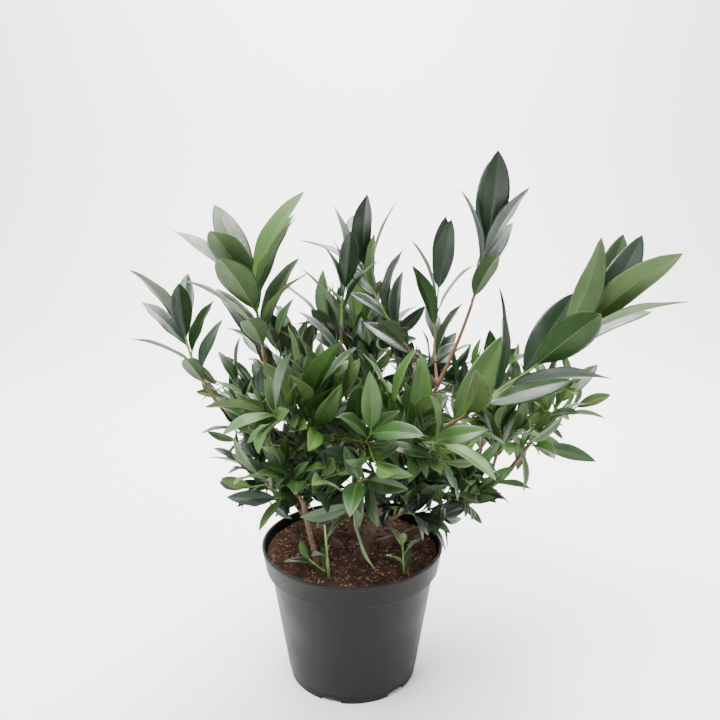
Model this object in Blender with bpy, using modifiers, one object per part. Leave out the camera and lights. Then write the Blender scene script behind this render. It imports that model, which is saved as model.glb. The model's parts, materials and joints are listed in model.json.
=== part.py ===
"""A cherry laurel in a five litre nursery pot.

Metres, +Z up. The origin is the middle of the pot's flat underside, and -Y is the front.
The plant is a clump from one root: a forked trunk and a few lesser stems leave the soil,
each leafy mass goes on from the end of its own bough, and every leaf is fused to its twig.
"""

import math
import random
from collections import namedtuple

import bmesh
import bpy
import numpy as np
from mathutils import Vector
from mathutils.bvhtree import BVHTree

MM = 0.001
GAP = 0.3 * MM
WELD = 0.01 * MM

# Pot: a tapered wall under a deep collar
POT_HEIGHT = 173.7 * MM
RIM_RADIUS = 112.3 * MM
COLLAR_FOOT_RADIUS = 107.5 * MM
COLLAR_HEIGHT = 29 * MM
WALL_TOP_RADIUS = 102 * MM
WALL_FOOT_RADIUS = 82.3 * MM
FOOT_STEP = 1.2 * MM
FOOT_BAND = 11 * MM
WALL = 2.2 * MM
LIP = 3 * MM
LIP_DEPTH = 4 * MM
LIP_ROUND = 0.8 * MM
LEDGE_ROUND = 1 * MM
LEDGE_RISE = 2 * MM
FLOOR = 7 * MM
TURN_STEPS = 36

# Foot notches: six drainage channels under the edge
NOTCHES = 6
NOTCH_FIRST = -18.5
NOTCH_ANGLE = 17.5
NOTCH_HEIGHT = 5 * MM
NOTCH_DEPTH = 14 * MM

# Soil: level where the stems stand, a little lower at the pot's wall
SOIL_LEVEL = 165 * MM
SOIL_FLAT_RADIUS = 88 * MM
SOIL_EDGE_DROP = 3 * MM

# Leaf: lance-shaped, folded up along the midrib and bent back at the tip
LEAF_WIDTH = 0.28
LEAF_THICK = 0.018
LEAF_FOLD = 0.16
LEAF_CURL = 0.05
LEAF_RIDGE = 0.42
LEAF_RISE = 0.16
FACE_UP_STEM = 0.75
LEAST_FACE = 0.08
LARGE_LEAF = 100 * MM

# Leaves up a shoot: the turn from one to the next, the crowding towards the tip, the lowest
# leaf's size, and how far size, azimuth, opening and roll vary
DIVERGENCE = 144.0
CROWDING = 1.5
LAST_LEAF = 0.995
LOWEST_SIZE = 0.82
SIZE_SPREAD = 0.08
AZIMUTH_SPREAD = 10.0
OPENING_SPREAD = 4.0
ROLL_SPREAD = 16.0

# Clear room that a mass keeps: half way to its neighbours, round limbs, rim and soil
SPACE_MARGIN = 1.6 * MM
LIMB_MARGIN = 1.6 * MM
SOIL_MARGIN = 3.2 * MM
RIM_INSIDE = 12 * MM
RIM_OUTSIDE = 3 * MM
BLADE_CLEAR = 0.5 * MM

# Corners of a leaf, anticlockwise from the tip: share of length, share of half width
LARGE_RING = ((1.0, 0.0), (0.68, -0.92), (0.30, -0.90), (0.0, 0.0), (0.30, 0.90), (0.68, 0.92))
SMALL_RING = ((1.0, 0.0), (0.46, -1.08), (0.0, 0.0), (0.46, 1.08))

# Side shoots: places along the leader, turn from one to the next, spread, lift and sag,
# their reach at the leader's foot and the loss towards its tip, and the lengths that are tried
LEADER_BARE = 0.04
SIDE_FIRST = 0.08
SIDE_LAST = 0.70
SIDE_TURN = 137.5
SIDE_AHEAD = 70.0
SIDE_SPREAD = (44.0, 58.0)
SIDE_RISE = 0.18
SIDE_SAG = 0.06
SIDE_POINTS = 4
SIDE_PROBES = 13
SIDE_REACH = 1.1
SIDE_REACH_LOSS = 0.5
SIDE_REACH_SPREAD = (0.85, 1.1)
SIDE_EASES = (1.0, 0.75, 0.5)
SIDE_BARE = 0.22
SIDE_LEAF = 0.86
SIDE_LOW_OPENING = 6.0
SIDE_TOP_OPENING = 4.0
SIDE_PHASE = 60.0

# Limbs: a bough is parted from its parent's stub where it stands clear of its neighbours
AXIS_POINTS = 7
STUB_CLEAR = 1.5 * MM
SHORTEST_STUB = 4 * MM
LONGEST_STUB = 60 * MM
SHORTEST_BOUGH = 12 * MM
BOUGH_TAPER = 0.22
FLARE = 0.42
FLARE_LENGTH = 11 * MM
ROOT_DEPTH = 30 * MM
LIMB_RINGS = 1
BOUGH_RINGS = 1
TWIG_TIP = 0.45
SIDE_TWIG = 0.72

# A leaf that has no room folds nearer its twig, turns round it (degrees) or shrinks
TRIES = (
    (1.0, 1.0, 0), (0.7, 1.0, 0), (1.0, 1.0, 25), (1.0, 1.0, -25), (0.45, 1.0, 0), (0.8, 0.82, 0),
    (0.8, 0.82, 35), (0.8, 0.82, -35), (0.45, 0.82, 0), (0.8, 0.82, 70), (0.8, 0.82, -70),
    (0.8, 0.65, 0), (0.4, 0.65, 0), (0.8, 0.65, 60), (0.8, 0.65, -60), (1.0, 0.6, 110), (1.0, 0.6, -110),
)

UP = np.array([0.0, 0.0, 1.0])
RIGHT = np.array([1.0, 0.0, 0.0])
LEAST_ACROSS = 0.05

# Limbs that fork: name, parent, place on it, end, bow, radius at each end (mm).
# A limb whose parent is the soil starts there; its place is then a point on the soil.
Limb = namedtuple("Limb", "parent place end bow thick thin")
LIMBS = {
    "trunk": Limb("soil", (12, -25), (47, -10, 287), (3, -9, 2), 6.6, 4.4),
    "stem_left": Limb("soil", (-20, 2), (-95, -20, 290), (-16, 8, -14), 5.0, 3.4),
    "stem_right": Limb("soil", (38, 6), (196, 14, 262), (14, 10, -22), 5.0, 3.2),
    "stem_back": Limb("soil", (0, 36), (4, 92, 282), (0, 22, -10), 5.0, 3.4),
    "stem_front": Limb("soil", (-37, -65), (-54, -75, 258), (-2, -2, 0), 3.4, 2.6),
    "bough_centre": Limb("trunk", 1.0, (105, 30, 366), (6, 2, -10), 3.6, 2.8),
}

# Leafy shoots: a bare bough, then the mass of foliage that goes on from its tip.
# bare is the bough's share of the length; side shoots and leaves follow by rule (mm, degrees).
Shoot = namedtuple(
    "Shoot", "parent place end bow bare thick leaves leaf low top phase sides reach side_leaves"
)
SHOOTS = {
    "far_left": Shoot(
        "stem_left", 1.0, (-192, -14, 440), (-40, 12, -3),
        0.50, 2.8, 8, 90, 58, 40, 270, 0, 0, 0,
    ),
    "left_tall": Shoot(
        "stem_left", 1.0, (-102, -86, 501), (11, -18, 20),
        0.54, 3.0, 13, 115, 48, 44, 55, 0, 0, 0,
    ),
    "left_inner": Shoot(
        "trunk", 0.4, (-6, -15, 503), (-40, 36, 40),
        0.54, 2.6, 8, 94, 42, 22, 155, 0, 0, 0,
    ),
    "centre_tall": Shoot(
        "bough_centre", 1.0, (12, 14, 514), (-14, -28, -5),
        0.26, 2.6, 11, 96, 48, 46, 105, 0, 0, 0,
    ),
    "centre_right": Shoot(
        "bough_centre", 1.0, (112, 104, 486), (-7, 15, -21),
        0.22, 2.4, 8, 95, 34, 24, 45, 0, 0, 0,
    ),
    "top_right": Shoot(
        "bough_centre", 1.0, (159, 24, 544), (15, 8, -3),
        0.52, 2.4, 7, 106, 38, 12, 100, 0, 0, 0,
    ),
    "right_big": Shoot(
        "trunk", 1.0, (236, -107, 462), (-16, -31, -15),
        0.18, 2.8, 14, 133, 50, 24, 160, 0, 0, 0,
    ),
    "right_far": Shoot(
        "stem_right", 1.0, (252, -8, 364), (-1, 6, -8),
        0.24, 2.8, 7, 61, 30, 42, 240, 4, 41, 4,
    ),
    "right_mid": Shoot(
        "stem_right", 0.8, (188, 0, 330), (-8, -18, 0),
        0.20, 2.6, 10, 94, 62, 30, 270, 4, 56, 4,
    ),
    "right_low": Shoot(
        "stem_right", 0.5, (142, -24, 270), (-4, -6, -6),
        0.0, 2.4, 8, 69, 66, 36, 270, 4, 60, 4,
    ),
    "left_low": Shoot(
        "stem_left", 0.95, (-102, -54, 338), (2, -9, -4),
        0.22, 2.6, 8, 68, 52, 30, 270, 3, 42, 4,
    ),
    "left_under": Shoot(
        "stem_left", 0.5, (-106, -44, 284), (-14, 0, -10),
        0.0, 2.4, 8, 66, 46, 30, 235, 3, 48, 4,
    ),
    "left_front": Shoot(
        "stem_left", 0.88, (-46, -80, 376), (11, -14, -10),
        0.32, 2.8, 10, 98, 50, 38, 120, 4, 69, 4,
    ),
    "front_mid": Shoot(
        "trunk", 0.62, (6, -96, 354), (6, -23, -4),
        0.30, 2.4, 6, 91, 50, 28, 115, 4, 72, 4,
    ),
    "front_right": Shoot(
        "trunk", 0.95, (70, -82, 346), (-5, -22, -6),
        0.22, 2.6, 9, 91, 52, 28, 55, 4, 76, 4,
    ),
    "front_low": Shoot(
        "stem_front", 1.0, (-58, -108, 298), (-7, 5, 0),
        0.0, 2.4, 8, 73, 48, 36, 250, 3, 60, 4,
    ),
    "back_left": Shoot(
        "stem_back", 0.8, (-90, 129, 382), (-24, 11, -10),
        0.30, 2.8, 9, 90, 64, 14, 130, 4, 78, 4,
    ),
    "back_mid": Shoot(
        "stem_back", 1.0, (11, 134, 424), (-3, 10, -4),
        0.25, 2.8, 10, 106, 44, 18, 80, 4, 75, 4,
    ),
    "back_right": Shoot(
        "stem_back", 0.9, (110, 122, 368), (15, 22, -10),
        0.30, 2.8, 10, 85, 46, 14, 10, 4, 64, 4,
    ),
    "back_far_left": Shoot(
        "stem_left", 0.75, (-126, 70, 340), (-11, 7, -8),
        0.30, 2.6, 8, 82, 40, 28, 330, 4, 81, 4,
    ),
    "back_far_right": Shoot(
        "stem_right", 0.65, (178, 82, 347), (9, 12, -8),
        0.30, 2.6, 7, 96, 58, 22, 210, 4, 75, 4,
    ),
    "middle": Shoot(
        "trunk", 0.85, (21, 40, 386), (-12, 22, 0),
        0.30, 2.4, 6, 75, 46, 14, 20, 4, 58, 4,
    ),
    "inner_left": Shoot(
        "stem_left", 0.4, (-38, 42, 290), (0, 11, 0),
        0.0, 2.4, 6, 88, 60, 44, 135, 4, 69, 4,
    ),
    "inner_right": Shoot(
        "stem_right", 0.3, (116, 38, 268), (-3, 2, -6),
        0.0, 2.4, 6, 94, 50, 32, 240, 4, 63, 4,
    ),
    "inner_front": Shoot(
        "trunk", 0.3, (82, -50, 262), (19, 10, -8),
        0.0, 2.4, 8, 80, 48, 38, 255, 4, 46, 4,
    ),
    "inner_low": Shoot(
        "stem_left", 0.3, (-54, -22, 258), (-3, 2, 0),
        0.0, 2.4, 7, 79, 64, 38, 20, 3, 56, 4,
    ),
    "sprout_left": Shoot(
        "soil", (-26, -80), (-31, -92, 262), (0, -2, 0),
        0.0, 1.8, 6, 44, 60, 34, 30, 1, 26, 3,
    ),
    "sprout_right": Shoot(
        "soil", (60, -70), (58, -76, 206), (0, 0, 0),
        0.0, 1.4, 5, 42, 60, 30, 0, 0, 0, 0,
    ),
}


def unit(vector):
    return vector / np.linalg.norm(vector)


def bend(start, end, bow, count):
    """Points of one smooth curve from start to end, drawn aside by bow."""
    t = np.linspace(0.0, 1.0, count)[:, None]
    control = (start + end) / 2 + bow
    return (1 - t) ** 2 * start + 2 * t * (1 - t) * control + t ** 2 * end


def lengths(path):
    """Length along the path up to each of its points."""
    steps = np.linalg.norm(np.diff(path, axis=0), axis=1)
    return np.concatenate([[0.0], np.cumsum(steps)])


def walk(path, distance):
    """Point and direction at a distance along the path."""
    marks = lengths(path)
    k = int(np.clip(np.searchsorted(marks, distance, side="right") - 1, 0, len(path) - 2))
    along = unit(path[k + 1] - path[k])
    return path[k] + along * (distance - marks[k]), along


def stretch(path, begin, finish):
    """The part of the path between two distances."""
    marks = lengths(path)
    inner = [p for p, m in zip(path, marks) if begin + WELD < m < finish - WELD]
    return np.array([walk(path, begin)[0]] + inner + [walk(path, finish)[0]])


def sideways(along, azimuth):
    """A unit vector across a stem, turned round it by azimuth degrees from its upper side."""
    across = np.cross(along, UP)
    across = unit(across) if np.linalg.norm(across) > LEAST_ACROSS else RIGHT
    above = np.cross(across, along)
    a = math.radians(azimuth)
    return above * math.cos(a) + across * math.sin(a)


def on_soil(place):
    return np.array([place[0] * MM, place[1] * MM, SOIL_LEVEL + GAP])


def first_middle(path, distance):
    """The middle of the first straight piece at or past a distance, where a cut is square."""
    marks = lengths(path)
    middles = (marks[:-1] + marks[1:]) / 2
    return float(middles[min(np.searchsorted(middles, distance), len(middles) - 1)])


def fork_cut(name, axes, radii, parents):
    """Where a limb is cut from its parent's stub: clear of the parent and of its other limbs."""
    axis = axes[name]
    others = [other for other in axes if other != name and parents[other] == parents[name]]
    others.append(parents[name])
    clear = 0.0
    for distance in np.arange(SHORTEST_STUB, LONGEST_STUB, MM):
        spot = walk(axis, distance)[0][None, :]
        clear = distance
        if all(
            distance_to(spot, axes[other][:-1], axes[other][1:]).min()
            > radii[name] + radii[other] + STUB_CLEAR
            for other in others
        ):
            break
    return first_middle(axis, clear)


def plan_limbs():
    """Path and radii of every limb, each limb's stubs, and the leader of each mass."""
    axes, radii, parents = {}, {}, {}
    for name, limb in list(LIMBS.items()) + list(SHOOTS.items()):
        if limb.parent == "soil":
            start = on_soil(limb.place)
        else:
            start = walk(axes[limb.parent], lengths(axes[limb.parent])[-1] * limb.place)[0]
        axes[name] = bend(start, np.array(limb.end) * MM, np.array(limb.bow) * MM, AXIS_POINTS)
        radii[name] = limb.thick * MM
        parents[name] = limb.parent
    limbs, stubs, leaders = {}, {}, {}
    for name, limb in list(LIMBS.items()) + list(SHOOTS.items()):
        axis = axes[name]
        total = lengths(axis)[-1]
        begin = 0.0
        if limb.parent != "soil":
            cut = fork_cut(name, axes, radii, parents)
            stubs.setdefault(limb.parent, []).append((stretch(axis, 0.0, cut), radii[name]))
            begin = cut + GAP
        if name in LIMBS:
            limbs[name] = (stretch(axis, begin, total), radii[name], limb.thin * MM)
        elif limb.bare:
            finish = first_middle(axis, max(total * limb.bare, begin + SHORTEST_BOUGH))
            thin = radii[name] * (1 - BOUGH_TAPER)
            limbs["bough_" + name] = (stretch(axis, begin, finish), radii[name], thin)
            leaders[name] = (stretch(axis, finish + GAP, total), thin)
        else:
            leaders[name] = (stretch(axis, begin, total), radii[name])
    return limbs, stubs, leaders


def segments_of(paths):
    starts = np.concatenate([p[:-1] for p in paths])
    ends = np.concatenate([p[1:] for p in paths])
    return starts, ends


def distance_to(points, starts, ends):
    """Distance from each point to each segment."""
    run = ends - starts
    rel = points[:, None, :] - starts[None, :, :]
    share = np.clip((rel * run).sum(2) / (run * run).sum(1), 0.0, 1.0)
    return np.linalg.norm(rel - share[..., None] * run[None], axis=2)


class Space:
    """Which mass each point belongs to: the one whose twigs are nearest."""

    def __init__(self, twigs, limbs, stubs):
        self.starts, self.ends, self.owner = [], [], []
        for name, paths in twigs.items():
            starts, ends = segments_of(paths)
            self.starts.append(starts)
            self.ends.append(ends)
            self.owner += [name] * len(starts)
        self.starts = np.concatenate(self.starts)
        self.ends = np.concatenate(self.ends)
        self.owner = np.array(self.owner)
        wood = [(path, thick) for path, thick, thin in limbs.values()]
        for forks in stubs.values():
            wood += forks
        self.limb_starts, self.limb_ends = segments_of([path for path, radius in wood])
        self.limb_radius = np.concatenate([np.full(len(path) - 1, radius) for path, radius in wood])

    def holds(self, name, points, radius=0.0):
        """Whether points of a mass, or the axis of a twig of some radius, keep to its space."""
        low = points[points[:, 2] < POT_HEIGHT + LIMB_MARGIN]
        reach = np.hypot(low[:, 0], low[:, 1])
        over_rim = (reach > RIM_RADIUS - RIM_INSIDE) & (reach < RIM_RADIUS + RIM_OUTSIDE)
        in_soil = (reach < RIM_RADIUS) & (low[:, 2] < SOIL_LEVEL + SOIL_MARGIN)
        if over_rim.any() or in_soil.any():
            return False
        limb = distance_to(points, self.limb_starts, self.limb_ends) - self.limb_radius
        if limb.min() < LIMB_MARGIN + radius:
            return False
        gaps = distance_to(points, self.starts, self.ends)
        own = self.owner == name
        margin = SPACE_MARGIN + radius
        return bool((gaps[:, own].min(1) + margin < gaps[:, ~own].min(1)).all())


Leaf = namedtuple("Leaf", "root along normal length")


def leaf_points(leaf, outline, width=LEAF_WIDTH):
    """Points of the blade at (share of length, share of half width, share of half thickness)."""
    across = np.cross(leaf.along, leaf.normal)
    points = []
    for t, w, h in outline:
        lift = LEAF_FOLD * abs(w) * width + LEAF_CURL * 4 * t * (1 - t) + h * LEAF_THICK / 2
        points.append(
            leaf.root
            + leaf.along * leaf.length * t
            + across * leaf.length * width * 0.5 * w
            + leaf.normal * leaf.length * lift
        )
    return np.array(points)


# Points round the blade that are tested against the mass's space
PROBES = ((1.0, 0, 0), (0.85, 0, 0), (0.7, 0.85, 0), (0.7, -0.85, 0), (0.5, 1, 0), (0.5, -1, 0),
          (0.3, 0.85, 0), (0.3, -0.85, 0), (0.2, 0, 0))


def blade_of(leaf):
    """The blade past its root, to test whether two leaves cross."""
    corners = leaf_points(leaf, ((0.14, 0, 0), (0.3, -0.9, 0), (0.68, -0.92, 0), (1, 0, 0),
                                 (0.68, 0.92, 0), (0.3, 0.9, 0)))
    faces = [(0, 1, 2, 3), (0, 3, 4, 5)]
    return BVHTree.FromPolygons([Vector(p) for p in corners], faces, epsilon=BLADE_CLEAR)


def leaves_on(path, count, size, low, top, phase, first, rng):
    """Leaves in turn up a shoot, closer together and more upright towards its tip."""
    total = lengths(path)[-1]
    wanted = []
    for k in range(count):
        share = k / max(count - 1, 1)
        crowded = 1 - (1 - share) ** CROWDING
        root, along = walk(path, total * (first + (LAST_LEAF - first) * crowded))
        azimuth = phase + DIVERGENCE * k + rng.uniform(-AZIMUTH_SPREAD, AZIMUTH_SPREAD)
        opening = low + (top - low) * share + rng.uniform(-OPENING_SPREAD, OPENING_SPREAD)
        length = size * (LOWEST_SIZE + (1 - LOWEST_SIZE) * share)
        length *= rng.uniform(1 - SIZE_SPREAD, 1 + SIZE_SPREAD)
        roll = rng.uniform(-ROLL_SPREAD, ROLL_SPREAD)
        wanted.append((root, along, azimuth, opening, length, roll))
    return wanted


def place_leaf(root, along, azimuth, opening, length, roll):
    """One leaf that leaves its twig at the opening angle and turns its face up the stem."""
    out = sideways(along, azimuth)
    a = math.radians(opening)
    aim = unit(along * math.cos(a) + out * math.sin(a) + UP * LEAF_RISE)
    face = unit(along * FACE_UP_STEM + UP * (1 - FACE_UP_STEM))
    normal = face - aim * face.dot(aim)
    if np.linalg.norm(normal) < LEAST_FACE:
        normal = -out
    normal = unit(normal - aim * normal.dot(aim))
    turn = math.radians(roll)
    normal = normal * math.cos(turn) + np.cross(aim, normal) * math.sin(turn)
    return Leaf(root, aim, normal, length)


def grow():
    """Every limb, and for each mass its twigs and the leaves that fit its own space."""
    limbs, stubs, leaders = plan_limbs()
    twigs = {name: [leader[0]] for name, leader in leaders.items()}
    space = Space(twigs, limbs, stubs)
    sides = {name: [] for name in SHOOTS}
    for name, shoot in SHOOTS.items():
        rng = random.Random(name)
        path, thick = leaders[name]
        total = lengths(path)[-1]
        for i in range(shoot.sides):
            share = SIDE_FIRST + (SIDE_LAST - SIDE_FIRST) * i / max(shoot.sides - 1, 1)
            root, along = walk(path, total * share)
            out = sideways(along, shoot.phase + SIDE_AHEAD + SIDE_TURN * i)
            spread = math.radians(rng.uniform(*SIDE_SPREAD))
            aim = unit(along * math.cos(spread) + out * math.sin(spread) + UP * SIDE_RISE)
            reach = shoot.reach * MM * (SIDE_REACH - SIDE_REACH_LOSS * share)
            reach *= rng.uniform(*SIDE_REACH_SPREAD)
            for ease in SIDE_EASES:
                end = root + aim * reach * ease
                sag = UP * -SIDE_SAG * reach * ease
                probes = bend(root, end, sag, SIDE_PROBES)[2:]
                if space.holds(name, probes, thick * SIDE_TWIG):
                    sides[name].append(bend(root, end, sag, SIDE_POINTS))
                    break
    for name in SHOOTS:
        twigs[name] = twigs[name] + sides[name]
    space = Space(twigs, limbs, stubs)
    masses = {}
    for name, shoot in SHOOTS.items():
        rng = random.Random(name + " leaves")
        size = shoot.leaf * MM
        low, top, phase = shoot.low, shoot.top, shoot.phase
        wanted = leaves_on(twigs[name][0], shoot.leaves, size, low, top, phase, LEADER_BARE, rng)
        low += SIDE_LOW_OPENING
        top += SIDE_TOP_OPENING
        for side in sides[name]:
            wanted += leaves_on(
                side, shoot.side_leaves, size * SIDE_LEAF, low, top, phase, SIDE_BARE, rng
            )
            phase += SIDE_PHASE
        leaves, blades = [], []
        for root, along, azimuth, opening, length, roll in wanted:
            for fold, shrink, turn in TRIES:
                leaf = place_leaf(root, along, azimuth + turn, opening * fold, length * shrink, roll)
                if not space.holds(name, leaf_points(leaf, PROBES)):
                    continue
                blade = blade_of(leaf)
                if not any(blade.overlap(other) for other in blades):
                    leaves.append(leaf)
                    blades.append(blade)
                    break
        masses[name] = (twigs[name], leaders[name][1], leaves, len(wanted))
    return limbs, stubs, masses


def material(name, colour, roughness):
    made = bpy.data.materials.new(name)
    made.use_nodes = True
    shader = made.node_tree.nodes["Principled BSDF"]
    shader.inputs["Base Color"].default_value = (*colour, 1.0)
    shader.inputs["Roughness"].default_value = roughness
    shader.inputs["Metallic"].default_value = 0.0
    return made


def mesh_object(name, mesh, collection, finish=None):
    made = bpy.data.objects.new(name, mesh)
    collection.objects.link(made)
    if finish:
        mesh.materials.clear()
        mesh.materials.append(finish)
    return made


def turned(name, profile, collection, finish):
    """A profile at +X, from the axis out, over the top, down its outer side and back, turned round Z."""
    mesh = bpy.data.meshes.new(name)
    edges = [(i, i + 1) for i in range(len(profile) - 1)]
    mesh.from_pydata([(r, 0.0, z) for r, z in profile], edges, [])
    made = mesh_object(name, mesh, collection, finish)
    screw = made.modifiers.new("Turn", "SCREW")
    screw.axis = "Z"
    screw.steps = TURN_STEPS
    screw.render_steps = TURN_STEPS
    screw.use_merge_vertices = True
    screw.merge_threshold = WELD
    screw.use_smooth_shade = False
    return made


def inner_wall(clear):
    """Inside of the pot from its floor up to the soil, or drawn in by a clearance for the soil."""
    return [
        (WALL_FOOT_RADIUS - WALL - clear, FLOOR + clear),
        (WALL_TOP_RADIUS - WALL - clear, POT_HEIGHT - COLLAR_HEIGHT + clear),
        (COLLAR_FOOT_RADIUS - WALL - clear, POT_HEIGHT - COLLAR_HEIGHT + LEDGE_RISE + clear),
    ]


def make_pot(collection, cutters, finish):
    """The pot's wall, collar and floor, with the six notches cut from its edge."""
    ledge = POT_HEIGHT - COLLAR_HEIGHT
    lip = RIM_RADIUS - LIP
    foot = WALL_FOOT_RADIUS - FOOT_STEP
    profile = [
        (0.0, FLOOR),
        *inner_wall(0.0),
        (lip - LIP_ROUND, POT_HEIGHT - LIP_DEPTH),
        (lip, POT_HEIGHT - LIP_ROUND),
        (lip + LIP_ROUND, POT_HEIGHT),
        (RIM_RADIUS - LIP_ROUND, POT_HEIGHT),
        (RIM_RADIUS, POT_HEIGHT - LIP_ROUND),
        (COLLAR_FOOT_RADIUS, ledge + LEDGE_ROUND),
        (COLLAR_FOOT_RADIUS - LEDGE_ROUND, ledge),
        (WALL_TOP_RADIUS, ledge - LEDGE_ROUND / 2),
        (WALL_FOOT_RADIUS, FOOT_BAND + FOOT_STEP),
        (foot, FOOT_BAND),
        (foot - FOOT_STEP / 2, FOOT_STEP),
        (foot - FOOT_STEP, 0.0),
        (0.0, 0.0),
    ]
    pot = turned("pot", profile, collection, finish)
    width = 2 * WALL_FOOT_RADIUS * math.sin(math.radians(NOTCH_ANGLE / 2))
    for k in range(NOTCHES):
        turn = math.radians(NOTCH_FIRST + 360 / NOTCHES * k)
        middle = Vector((math.sin(turn), -math.cos(turn), 0.0)) * WALL_FOOT_RADIUS
        block = bmesh.new()
        bmesh.ops.create_cube(block, size=1.0)
        bmesh.ops.scale(block, vec=(width, 2 * NOTCH_DEPTH, 2 * NOTCH_HEIGHT), verts=block.verts)
        mesh = bpy.data.meshes.new("notch")
        block.to_mesh(mesh)
        block.free()
        notch = mesh_object("notch_%d" % (k + 1), mesh, cutters)
        notch.location = middle
        notch.rotation_euler.z = turn
        notch.hide_render = True
        notch.display_type = "WIRE"
    cut = pot.modifiers.new("Notches", "BOOLEAN")
    cut.operation = "DIFFERENCE"
    cut.operand_type = "COLLECTION"
    cut.collection = cutters
    cut.solver = "EXACT"
    return pot


def make_soil(collection, finish):
    """Compost that fills the pot to a little under its rim."""
    foot, ledge_low, ledge_high = inner_wall(GAP)
    edge_level = SOIL_LEVEL - SOIL_EDGE_DROP
    rise = (edge_level - ledge_high[1]) / (POT_HEIGHT - LIP_DEPTH - ledge_high[1])
    edge = ledge_high[0] + (RIM_RADIUS - LIP - LIP_ROUND - GAP - ledge_high[0]) * rise
    profile = [
        (0.0, SOIL_LEVEL),
        (SOIL_FLAT_RADIUS, SOIL_LEVEL),
        (edge, edge_level),
        ledge_high,
        ledge_low,
        foot,
        (0.0, foot[1]),
    ]
    return turned("soil", profile, collection, finish)


def tube(name, path, radii, collection, section=None, rings=0):
    """A tapering round tube with flat ends, or one of the given cross-section."""
    curve = bpy.data.curves.new(name, "CURVE")
    curve.dimensions = "3D"
    curve.use_fill_caps = True
    if section:
        curve.bevel_mode = "OBJECT"
        curve.bevel_object = section
    else:
        curve.bevel_depth = MM
        curve.bevel_resolution = rings
    spline = curve.splines.new("POLY")
    spline.points.add(len(path) - 1)
    for point, place, radius in zip(spline.points, path, radii):
        point.co = (*place, 1.0)
        point.radius = radius / MM
    made = bpy.data.objects.new(name, curve)
    collection.objects.link(made)
    return made


def as_mesh(source, collection):
    """The object as a closed mesh, its caps welded; the source is removed."""
    bpy.context.view_layer.update()
    graph = bpy.context.evaluated_depsgraph_get()
    mesh = bpy.data.meshes.new_from_object(source.evaluated_get(graph))
    name = source.name
    matrix = source.matrix_world.copy()
    bpy.data.objects.remove(source)
    shape = bmesh.new()
    shape.from_mesh(mesh)
    bmesh.ops.remove_doubles(shape, verts=shape.verts, dist=WELD)
    shape.to_mesh(mesh)
    shape.free()
    made = mesh_object(name, mesh, collection)
    made.matrix_world = matrix
    return made


def keep_outer_body(mesh):
    """Drop loose scraps and sealed hollows: only the widest closed body stays."""
    shape = bmesh.new()
    shape.from_mesh(mesh)
    left = set(shape.verts)
    bodies = []
    while left:
        body = {left.pop()}
        edge_of = list(body)
        while edge_of:
            vert = edge_of.pop()
            for edge in vert.link_edges:
                other = edge.other_vert(vert)
                if other not in body:
                    body.add(other)
                    edge_of.append(other)
        left -= body
        heights = [v.co.z for v in body]
        bodies.append((max(heights) - min(heights), len(bodies), body))
    bodies.sort(key=lambda item: item[:2])
    for size, order, body in bodies[:-1]:
        bmesh.ops.delete(shape, geom=list(body), context="VERTS")
    shape.to_mesh(mesh)
    shape.free()


def fuse(name, pieces, collection, finish):
    """One closed body from overlapping pieces, by a Boolean union on their collection."""
    bench = bpy.data.collections.new(name + "_pieces")
    bpy.context.scene.collection.children.link(bench)
    for piece in pieces[1:]:
        bench.objects.link(piece)
    union = pieces[0].modifiers.new("Union", "BOOLEAN")
    union.operation = "UNION"
    union.operand_type = "COLLECTION"
    union.collection = bench
    union.solver = "EXACT"
    bpy.context.view_layer.update()
    graph = bpy.context.evaluated_depsgraph_get()
    mesh = bpy.data.meshes.new_from_object(pieces[0].evaluated_get(graph))
    for piece in pieces:
        bpy.data.objects.remove(piece)
    bpy.data.collections.remove(bench)
    keep_outer_body(mesh)
    mesh.name = name
    return mesh_object(name, mesh, collection, finish)


def leaf_solid(leaf, collection):
    """A blade of eight or twelve faces: a double cone drawn out to the leaf's corners."""
    ring = LARGE_RING if leaf.length > LARGE_LEAF else SMALL_RING
    sides = len(ring)
    shape = bmesh.new()
    bmesh.ops.create_uvsphere(shape, u_segments=sides, v_segments=2, radius=1.0)
    for vert in shape.verts:
        if abs(vert.co.z) > 0.5:
            corner = (LEAF_RIDGE, 0.0, math.copysign(1.0, vert.co.z))
        else:
            k = round(math.atan2(vert.co.y, vert.co.x) / math.tau * sides) % sides
            corner = (*ring[k], 0.0)
        vert.co = Vector(leaf_points(leaf, [corner])[0])
    mesh = bpy.data.meshes.new("leaf")
    shape.to_mesh(mesh)
    shape.free()
    return mesh_object("leaf", mesh, collection)


def limb_radii(path, thick, thin, flared):
    """Radius at each point of a limb's path, with the root flare on a limb from the soil."""
    marks = lengths(path)
    radii = thick + (thin - thick) * marks / marks[-1]
    if flared:
        radii = radii * (1 + FLARE * np.exp(-marks / FLARE_LENGTH))
    return radii


def cut_at_soil(mesh):
    """Cut a stem off flat where it stands on the soil."""
    shape = bmesh.new()
    shape.from_mesh(mesh)
    everything = list(shape.verts) + list(shape.edges) + list(shape.faces)
    level = (0.0, 0.0, SOIL_LEVEL + GAP)
    bmesh.ops.bisect_plane(shape, geom=everything, plane_co=level, plane_no=UP, clear_inner=True)
    bmesh.ops.remove_doubles(shape, verts=shape.verts, dist=WELD)
    rim = [edge for edge in shape.edges if edge.is_boundary]
    bmesh.ops.holes_fill(shape, edges=rim)
    bmesh.ops.recalc_face_normals(shape, faces=shape.faces)
    shape.to_mesh(mesh)
    shape.free()


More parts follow.
